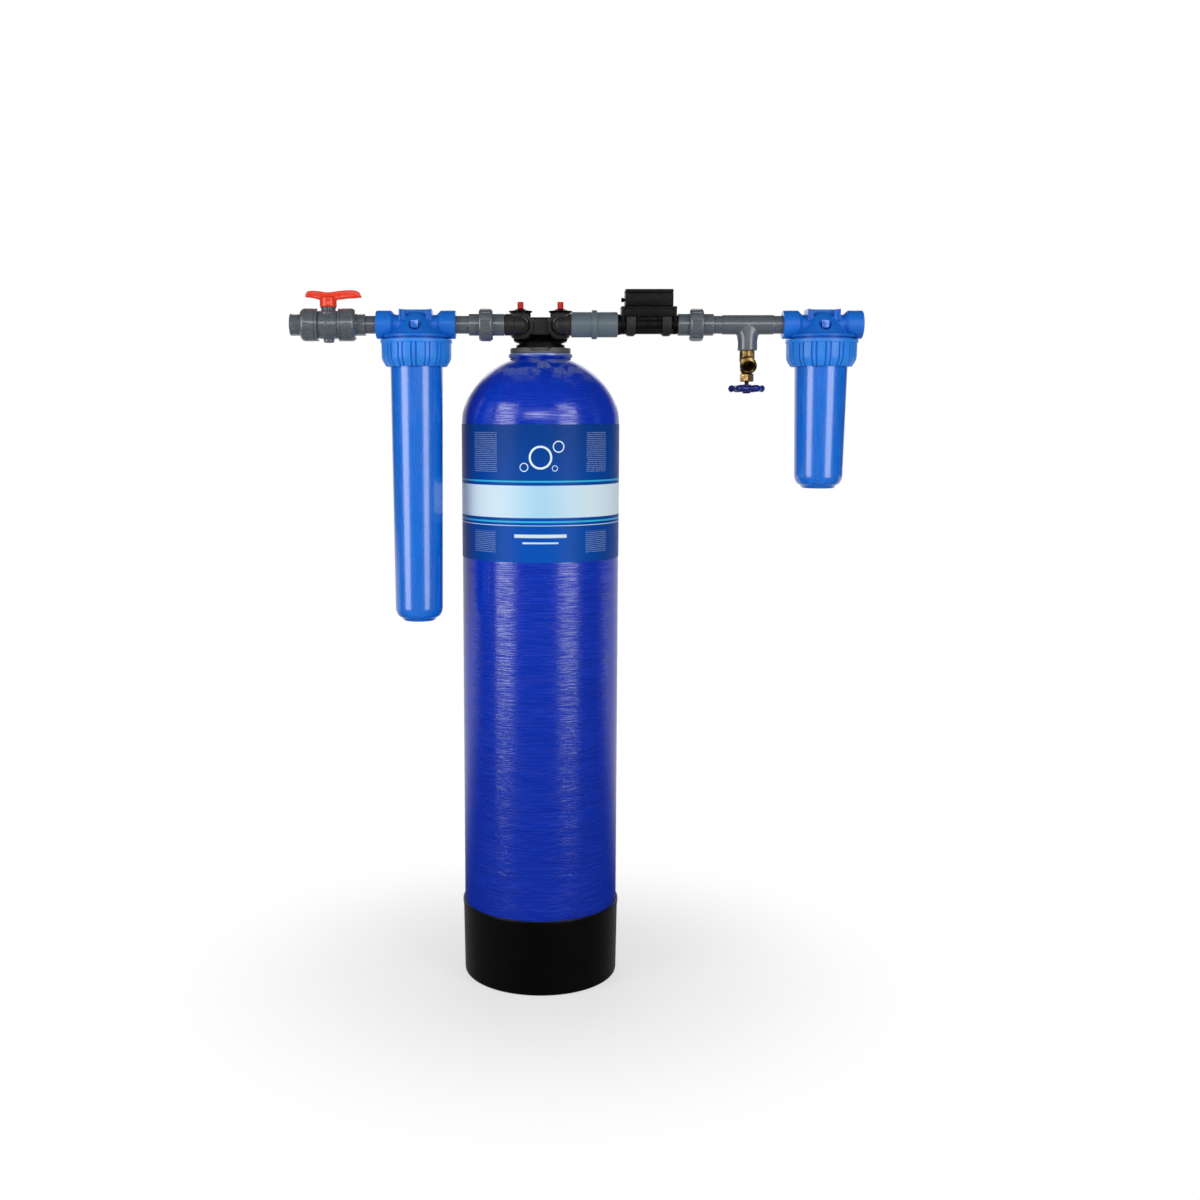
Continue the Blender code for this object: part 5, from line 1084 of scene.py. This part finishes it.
def packing_nut_form():
    """The hexagonal packing nut, its corners chamfered top and bottom and one to the front."""
    low, high = ends("drain_packing_nut", 2)
    radius, bore = 13.6, 4.6
    sides = flats(6, radius, 1.0, low + 1.4, high - 1.4)
    return turned([
        (bore, low), (11.8, low), (radius, low + 1.6), (radius, high - 1.6), (11.8, high),
        (9.8, high), (9.8, low + 10), (bore, low + 10)], drain_axis(), fill=2,
        relief=lambda height, angle: sides(height, angle + math.pi / 6), core=13.0)


def handwheel_form():
    """The drain's handwheel. Its rim is a bead whose radius grows at six lobes:
    bead + swell * ((1 + cos 6a) / 2) ^ 0.7. A dished web with six ribs carries it to the hub."""
    low, high = ends("drain_handwheel", 2)
    middle = high - 7.5
    angle = math.tau * np.arange(240) / 240
    turn = math.tau * np.arange(28)[:, None] / 28
    lobe = ((1 + np.cos(6 * angle)) / 2) ** 0.7
    thick, radius = 3.6 + 2.2 * lobe, 25.8 + 2.8 * lobe
    reach = radius + thick * np.cos(turn)
    rim = np.stack([reach * np.cos(angle), reach * np.sin(angle),
                    middle + thick * 1.15 * np.sin(turn)], -1).reshape(-1, 3), grid(28, 240, True, True)
    hub = turned([(0, low), (6.8, low, 1), (8.8, low + 4, 3), (9.0, high, 1.2), (4.6, high),
                  (4.6, low + 3), (0, low + 3)], steps=64)
    web = turned([(4.6, middle - 1.6), (27.0, middle - 1), (27.0, middle + 1), (4.6, middle + 1.6)])
    ribs = []
    for way in math.tau * np.arange(6) / 6:
        points, faces = pillow((7.0, -1.8, middle - 2.6), (26.2, 1.8, middle + 2.6), 0.8, 1)
        cosine, sine = math.cos(way), math.sin(way)
        ribs.append((points @ [[cosine, sine, 0], [-sine, cosine, 0], [0, 0, 1]], faces))
    return [moved(shape, None, drain_axis()) for shape in (rim, hub, web, *ribs)]


def stem_form():
    """The drain's stem, with a thread where it leaves the packing nut."""
    low, high = ends("drain_stem", 2)
    deep, pitch = 0.22, 1.6

    def thread(height, angle):
        """A helical thread, cut into the bar."""
        return deep * np.sin(math.tau * height / pitch - angle) - deep

    return turned([(0, low), (4.2, low), (4.2, high), (0, high)], drain_axis(), ALONG_Z, 36, 0.4,
                  relief=thread)


class FILTER_OT_drain(bpy.types.Operator):
    """Build the brass drain valve with its nut, stem and handwheel"""
    bl_idname = "filter.drain"
    bl_label = "Drain valve"

    def execute(self, context):
        dress("drain_body", *drain_body_form(), sharp=30)
        dress("drain_packing_nut", packing_nut_form(), sharp=24)
        dress("drain_stem", stem_form())
        dress("drain_handwheel", *handwheel_form())
        return {"FINISHED"}


def valve_body_form():
    """The ball valve's body: a barrel with a neck, a boss and flanks at its middle, bored for
    the water and the ball, with two thin ridges round it and a square nub in front."""
    low, high = ends("valve_body")
    place = middle_of("valve_body")
    end, half, radius, belly = (high - low) / 2, 18.5, 24.4, 26.2
    barrel = turned(both_ways([(belly, half - 1.2, 1), (25.0, half), (radius, half + 0.4),
                               (radius, end, 0.6), (0, end)]), place, ALONG_X, 128)
    neck = turned(bowed([(0, 0), (19.5, 2), (19.2, 21.5), (16.0, 24.5), (13.2, 27.5), (14.0, 30.0),
                         (15.0, 30.6), (15.0, 31.9), (0, 32.0)], 5), place)
    boss = turned([(0, -33.5), (9.0, -33.5, 1.5), (9.8, -31.0, 1), (10.2, -26, 2), (14.0, -23),
                   (0, -20)], place)
    cuts = [turned(arc(19.8, -QUARTER, QUARTER, 40), place, ALONG_Z, 64),
            post(12.4, -60, 60, place, ALONG_X), post(STEM_RADIUS, 0, 50, place)]
    ridges = turned(both_ways([(26.3, 1.2), (27.2, 1.8, 0.4), (27.2, 2.8, 0.4), (belly, 3.4),
                               (25.0, 3.6)]), place, ALONG_X, 128)
    nub = moved(pillow((-4.5, -4.5, 25.5), (4.5, 4.5, 27.8), 1.4, 0.8), AGAINST_Y, place)
    strips = [moved(pillow((x - 0.6, -15.8, 22.0), (x + 0.6, -12.0, 31.8), 0.4, 0.3), None, place)
              for x in (-2.3, 2.3)]
    return [welded("valve", [barrel, neck, boss], cuts, 0.9, 4), ridges, nub, *strips]


def handle_form():
    """The handle: a wing whose outline is a smooth curve, narrower towards its tips by
    share * (|x| / reach) ^ 1.5, welded to a waisted hub."""
    place = middle_of("valve_stem")
    left, right = (-42.5, 50.0), (63.0, 49.8)
    top = bowed([left, (-40.8, 57.8), (-34.5, 61.5), (-17.0, 61.2), (0, 59.0), (18.0, 61.2),
                 (38.0, 63.0), (53.0, 61.8), (60.0, 57.0), right], 6)
    under = bowed([right, (50.0, 48.4), (38.0, 48.0), (15.7, 45.6), (-15.0, 45.8), (-30.0, 49.0),
                   left], 6)
    points, faces = slab(np.concatenate([top, under[1:-1]])[::-1], -10, 10, 3.2, 6)
    points[:, 2] *= 1 - 0.32 * (np.abs(points[:, 0]) / right[0]) ** 1.5
    wing = moved((points, faces), AGAINST_Y, place)
    hub = turned([(0, 32.4), (16.0, 32.4, 1), (16.2, 37.0, 2), (15.8, 44.0, 3), (17.5, 50.0, 4),
                  (0, 54.0)], place, cuts=6)
    dish = moved(pillow((-12.5, -6.2, 58.8), (12.5, 6.2, 70.0), 5, 0.8), None, place)
    return welded("handle", [wing, hub], [dish, post(STEM_RADIUS, 30.0, 44.3, place)], 0.9, 5)


class FILTER_OT_valve(bpy.types.Operator):
    """Build the ball valve with its sockets, nuts and handle"""
    bl_idname = "filter.valve"
    bl_label = "Ball valve"

    def execute(self, context):
        sides = flats(12, TAIL_RADIUS, 0.9, 1, 18)
        for name, direction, tail in (("inlet", 1, 20), ("outlet", -1, 18)):
            node = f"valve_{name}_socket"
            dress(node, socket_form(
                node, direction, tail + 5.8, lambda height, angle, low=tail: sides(height, angle)
                * (height < low) * ramp(height, 1.2, 3)), sharp=24)
            dress(f"valve_{name}_nut", valve_nut_form(f"valve_{name}_nut", direction))
        dress("valve_body", *valve_body_form())
        dress("valve_handle", handle_form())
        return {"FINISHED"}


def head_moulding(floor):
    """A housing head at the origin: an ogive dome, square-shouldered ports, and a bracket of
    two lips and a plate, with the vent's recess and the pipe sockets cut out."""
    dome = turned([(0, -20.5), *bowed([
        (47.7, -20.5), (47.0, -17.8), (42.8, -12.0), (36.6, -4.0), (30.4, 4.0), (25.6, 10.0),
        (20.6, 15.5), (13.6, 20.5), (6.0, 22.8), (0, 23.2)])], steps=160)
    end, port, waist = 74.2, 26.2, 18.4
    ports = turned(both_ways([(waist, 38.6, 1), (port, 46.1, 0.8), (port, end, 1.4), (0, end)]),
                   ORIGIN, ALONG_X, 128)
    lips = [pillow((side * 27.0, -22.0, 4.5), (side * 30.6, 22.0, 28.1), 1, 0.8) for side in (-1, 1)]
    inner = [pillow((side * 19.0, -16.5, 6.0), (side * 28.0, 20.0, 27.6), 1, 0.8)
             for side in (-1, 1)]
    plate = pillow((-29.0, -4.0, 8.0), (29.0, 20.0, 28.0), 1, 0.8)
    cuts = [post(11.5, floor, 60, ORIGIN, AGAINST_Y), post(6.8, floor - 12, 60, ORIGIN, AGAINST_Y),
            *[post(SOCKET_RADIUS, 63.3, 80, ORIGIN, way) for way in (ALONG_X, AGAINST_X)]]
    return welded("housing_head", [dome, ports, plate, *lips, *inner], cuts,
                  1.0, 3)


def skirt_form(place):
    """The head's flange and the skirt that the ring nut screws on, turned with crisp rims."""
    return turned([
        (0, -27.0), (50.0, -27.0), (50.0, -64.0), (56.0, -64.0, 1), (56.0, -24.2),
        (60.0, -23.8, 0.8), (60.5, -19.0, 1.2), (57.0, -17.5, 1), (30.0, -17.5), (0, -17.5)],
        place, steps=192, fill=10)


def ring_form(place):
    """The ring nut: a rim over broad panels with a rib between each two, which paired grooves
    part, and a tapered foot."""
    house = bpy.context.scene.filter_housing
    first, second = [notched(house.panels, 0.056, house.groove / MM, -80, -35.2, 0.8, side * 0.066)
                     for side in (-1, 1)]
    return turned([
        (49.3, -77.5), (56.8, -77.5, 1.2), (65.0, -64.0, 6), (65.4, -34.5), (67.2, -33.8, 0.5),
        (67.2, -27.5, 1.4), (56.3, -27.5, 0.6), (56.3, -70.5), (49.3, -70.5)], place, ALONG_Z, 720,
        1.4, relief=lambda height, angle: (first(height, angle) + second(height, angle))
        * (height < -35), core=56.5)


def sump_form(node, place):
    """A bowl: a slightly tapered glossy wall, a rounded end of a quarter ellipse and a sloping
    foot, hollow, with the flange that the ring nut holds."""
    low = ends(node, 2)[0] - LINE_Z
    foot = low + 6
    turn = np.linspace(0, QUARTER, 14)[1:]
    rounding = np.column_stack([33.5 + 11.5 * np.sin(turn), foot + 20 * (1 - np.cos(turn))])
    return turned([
        *eased([(0, low + 1.2), (25.0, low + 1.2), (26.0, low), (30.0, low, 1.2),
                (33.5, foot - 0.4, 0.6)], False), *rounding,
        *eased([(45.0, foot + 21), (49.0, -70.2), (56.0, -70.2, 0.5), (56.0, -64.3, 0.5),
                (44.8, -64.3), (40.8, low + 22.8), (33.0, low + 8.8), (0, low + 8.8)], False)],
        place, steps=160, fill=12)


def cartridge_form(node, place):
    """A wound cartridge with its core hole and soft ends."""
    low, high = ends(node, 2)
    return turned([(14, low), (31.6, low, 3), (31.6, high, 3), (14, high)], (*place[:2], 0),
                  steps=72, fill=10)


def vent_form(node, place):
    """The vent's grip: an upright tongue, wider at its top, on a round stem that leaves it room
    to be pressed into its recess."""
    low, high = ends(node, 1)
    front, half = LINE_Y - low, 7.4
    back = front - 5
    points, faces = pillow((-half, -7.8, back), (half, half, front), 2.6, 1.2)
    points[:, 0] *= 0.89 + 0.11 * points[:, 1] / half
    stem = post(5.8, LINE_Y - high, back + 1, ORIGIN)
    return [moved(shape, AGAINST_Y, place) for shape in ((points, faces), stem)]


class FILTER_OT_housings(bpy.types.Operator):
    """Build both filter housings: heads, vents, ring nuts, bowls and cartridges"""
    bl_idname = "filter.housings"
    bl_label = "Filter housings"

    def execute(self, context):
        moulding = head_moulding(LINE_Y - ends("prefilter_vent_button", 1)[0] - 8)
        for name in ("prefilter", "postfilter"):
            place = middle_of(f"{name}_head")
            dress(f"{name}_head", moved(moulding, place=place), skirt_form(place))
            dress(f"{name}_ring_nut", ring_form(place), sharp=30)
            dress(f"{name}_sump", sump_form(f"{name}_sump", place))
            dress(f"{name}_cartridge", cartridge_form(f"{name}_cartridge", place))
            dress(f"{name}_vent_button", *vent_form(f"{name}_vent_button", place),
                  slot="housing_sump_blue")
        return {"FINISHED"}


class FILTER_OT_inner(bpy.types.Operator):
    """Give the parts inside their finishes: they keep the frame's own shapes"""
    bl_idname = "filter.inner"
    bl_label = "Parts inside"

    def execute(self, context):
        for node in ("riser_tube", "bottom_basket", "media_bed", "inlet_bypass_plug",
                     "outlet_bypass_plug", "valve_ball", "valve_stem", "meter_turbine", "drain_washer"):
            for slot in frame["nodes"][node].material_slots:
                slot.material = FINISHES[SLOT_OF[node]]
        return {"FINISHED"}


def pale(nodes, kind, join, lit, strength, behind):
    """The pale background over a lit shader: white by a strength for the camera and for rays
    through glass, and for rays off gloss white behind the object and as dim as the room before
    it."""
    path = nodes.add("LightPath").node.outputs
    seen = nodes.math("MAXIMUM", path["Is Camera Ray"], path["Is Transmission Ray"])
    seen = nodes.math("MULTIPLY", seen, strength)
    direct = nodes.add("MixShader", (seen, lit, nodes.add(kind, (WHITE, 1))))
    mirrored = nodes.add(kind, (WHITE, behind))
    nodes.add(join, (nodes.add("MixShader", (path["Is Glossy Ray"], direct, mirrored)),))


def softbox(name, watts):
    """A large rectangular light, aimed at a height on the tank's axis."""
    angle, away, up, aim, width, tall = LIGHTS[name]
    turn = math.radians(angle)
    place = Vector((away * math.sin(turn), -away * math.cos(turn), up))
    lamp = bpy.data.lights.new(f"softbox_{name}", "AREA")
    lamp.shape = "RECTANGLE"
    lamp.size, lamp.size_y, lamp.energy = width, tall, watts
    made = placed(f"softbox_{name}", lamp)
    made.location = place
    made.rotation_euler = (Vector((0, 0, aim)) - place).to_track_quat("-Z", "Y").to_euler()
    made.visible_camera = False


FLOOR_HALF = 8000
# Each light's angle from the front in degrees, distance, height, height of its aim, width and
# height in metres
LIGHTS = {"left": (-52, 3.4, 1.50, 0.75, 1.75, 3.0), "right": (40, 3.4, 1.50, 0.75, 1.60, 3.0),
          "front": (0, 2.9, 1.98, 1.25, 2.4, 0.6), "back": (180, 2.4, 1.9, 0.8, 2.4, 1.2)}
CAMERA_PLACE, CAMERA_TILT = (0, -2.7534, 1.1209), math.radians(82.5)
CAMERA_LENS, CAMERA_SENSOR, CAMERA_SHIFT = 42, 36, 0.0496


class FILTER_OT_stage(bpy.types.Operator):
    """Build the floor, the lights, the world and the camera"""
    bl_idname = "filter.stage"
    bl_label = "Stage"

    def execute(self, context):
        stage = context.scene.filter_stage
        room = stage.mirrored, stage.backdrop
        smooth = {"interpolation_type": "SMOOTHSTEP"}
        nodes = Nodes(bpy.data.materials.new("painted_floor"))
        flat = nodes.vector("MULTIPLY", nodes.place, (1, 1, 0))
        far = nodes.ranged(nodes.vector("LENGTH", flat, out="Value"), 0.15, 0.8, 0.60, 1, **smooth)
        behind = nodes.ranged(nodes.axes(nodes.place)["Y"], 0.2, 1.6, *room, **smooth)
        gloss = nodes.ranged(nodes.noise(nodes.place, 1 / 0.004, 3), *NOISE_SPAN, 0.7, 0.8)
        paint = nodes.add("BsdfPrincipled", {"Base Color": tint(stage.floor), "Roughness": gloss,
                                             "Specular IOR Level": 0.2})
        pale(nodes, "Emission", "OutputMaterial", paint, far, behind)
        corners = np.array([(-1, -1, 0), (1, -1, 0), (1, 1, 0), (-1, 1, 0)]) * FLOOR_HALF
        floor = placed("floor", mesh_of("floor", [(corners, [[0, 1, 2, 3]])]))
        floor.data.materials.append(nodes.owner)

        for name in LIGHTS:
            softbox(name, getattr(stage, name))

        nodes = Nodes(bpy.data.worlds.new("studio"), "Generated")
        behind = nodes.ranged(nodes.axes(nodes.place)["Y"], 0.72, 0.84, *room, **smooth)
        lit = nodes.add("Background", (WHITE, stage.ambient))
        pale(nodes, "Background", "OutputWorld", lit, 1, behind)
        context.scene.world = nodes.owner
        context.scene.view_settings.view_transform = "Standard"

        lens = bpy.data.cameras.new("view")
        lens.lens, lens.sensor_width, lens.shift_x = CAMERA_LENS, CAMERA_SENSOR, CAMERA_SHIFT
        camera = placed("view", lens)
        camera.location = CAMERA_PLACE
        camera.rotation_euler = (CAMERA_TILT, 0, 0)
        context.scene.camera = camera
        return {"FINISHED"}


PIECES = (FILTER_OT_tank, FILTER_OT_head, FILTER_OT_bypass, FILTER_OT_line, FILTER_OT_meter,
          FILTER_OT_drain, FILTER_OT_valve, FILTER_OT_housings, FILTER_OT_inner, FILTER_OT_stage)
SETTINGS = {"filter_tank": TankSettings, "filter_pipe": PipeSettings,
            "filter_housing": HousingSettings, "filter_stage": StageSettings}


class FILTER_PT_panel(bpy.types.Panel):
    """The filter's pieces and settings"""
    bl_idname = "FILTER_PT_panel"
    bl_label = "Water Filter"
    bl_space_type = "VIEW_3D"
    bl_region_type = "UI"
    bl_category = "Water Filter"

    def draw(self, context):
        for piece in PIECES:
            self.layout.operator(piece.bl_idname)
        for name, kind in SETTINGS.items():
            part = self.layout.box()
            for setting in kind.__annotations__:
                part.prop(getattr(context.scene, name), setting)


CLASSES = (*SETTINGS.values(), *PIECES, FILTER_PT_panel)


def register():
    """Register the classes and put the settings on the scene."""
    for kind in CLASSES:
        bpy.utils.register_class(kind)
    for name, kind in SETTINGS.items():
        setattr(bpy.types.Scene, name, PointerProperty(type=kind))


def unregister():
    """Take the settings off the scene and unregister the classes."""
    for name in SETTINGS:
        delattr(bpy.types.Scene, name)
    for kind in reversed(CLASSES):
        bpy.utils.unregister_class(kind)


def main():
    """Make the finishes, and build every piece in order."""
    register()
    FINISHES.update(finishes())
    for piece in PIECES:
        group, name = piece.bl_idname.split(".")
        getattr(getattr(bpy.ops, group), name)()


if __name__ == "__main__":
    main()
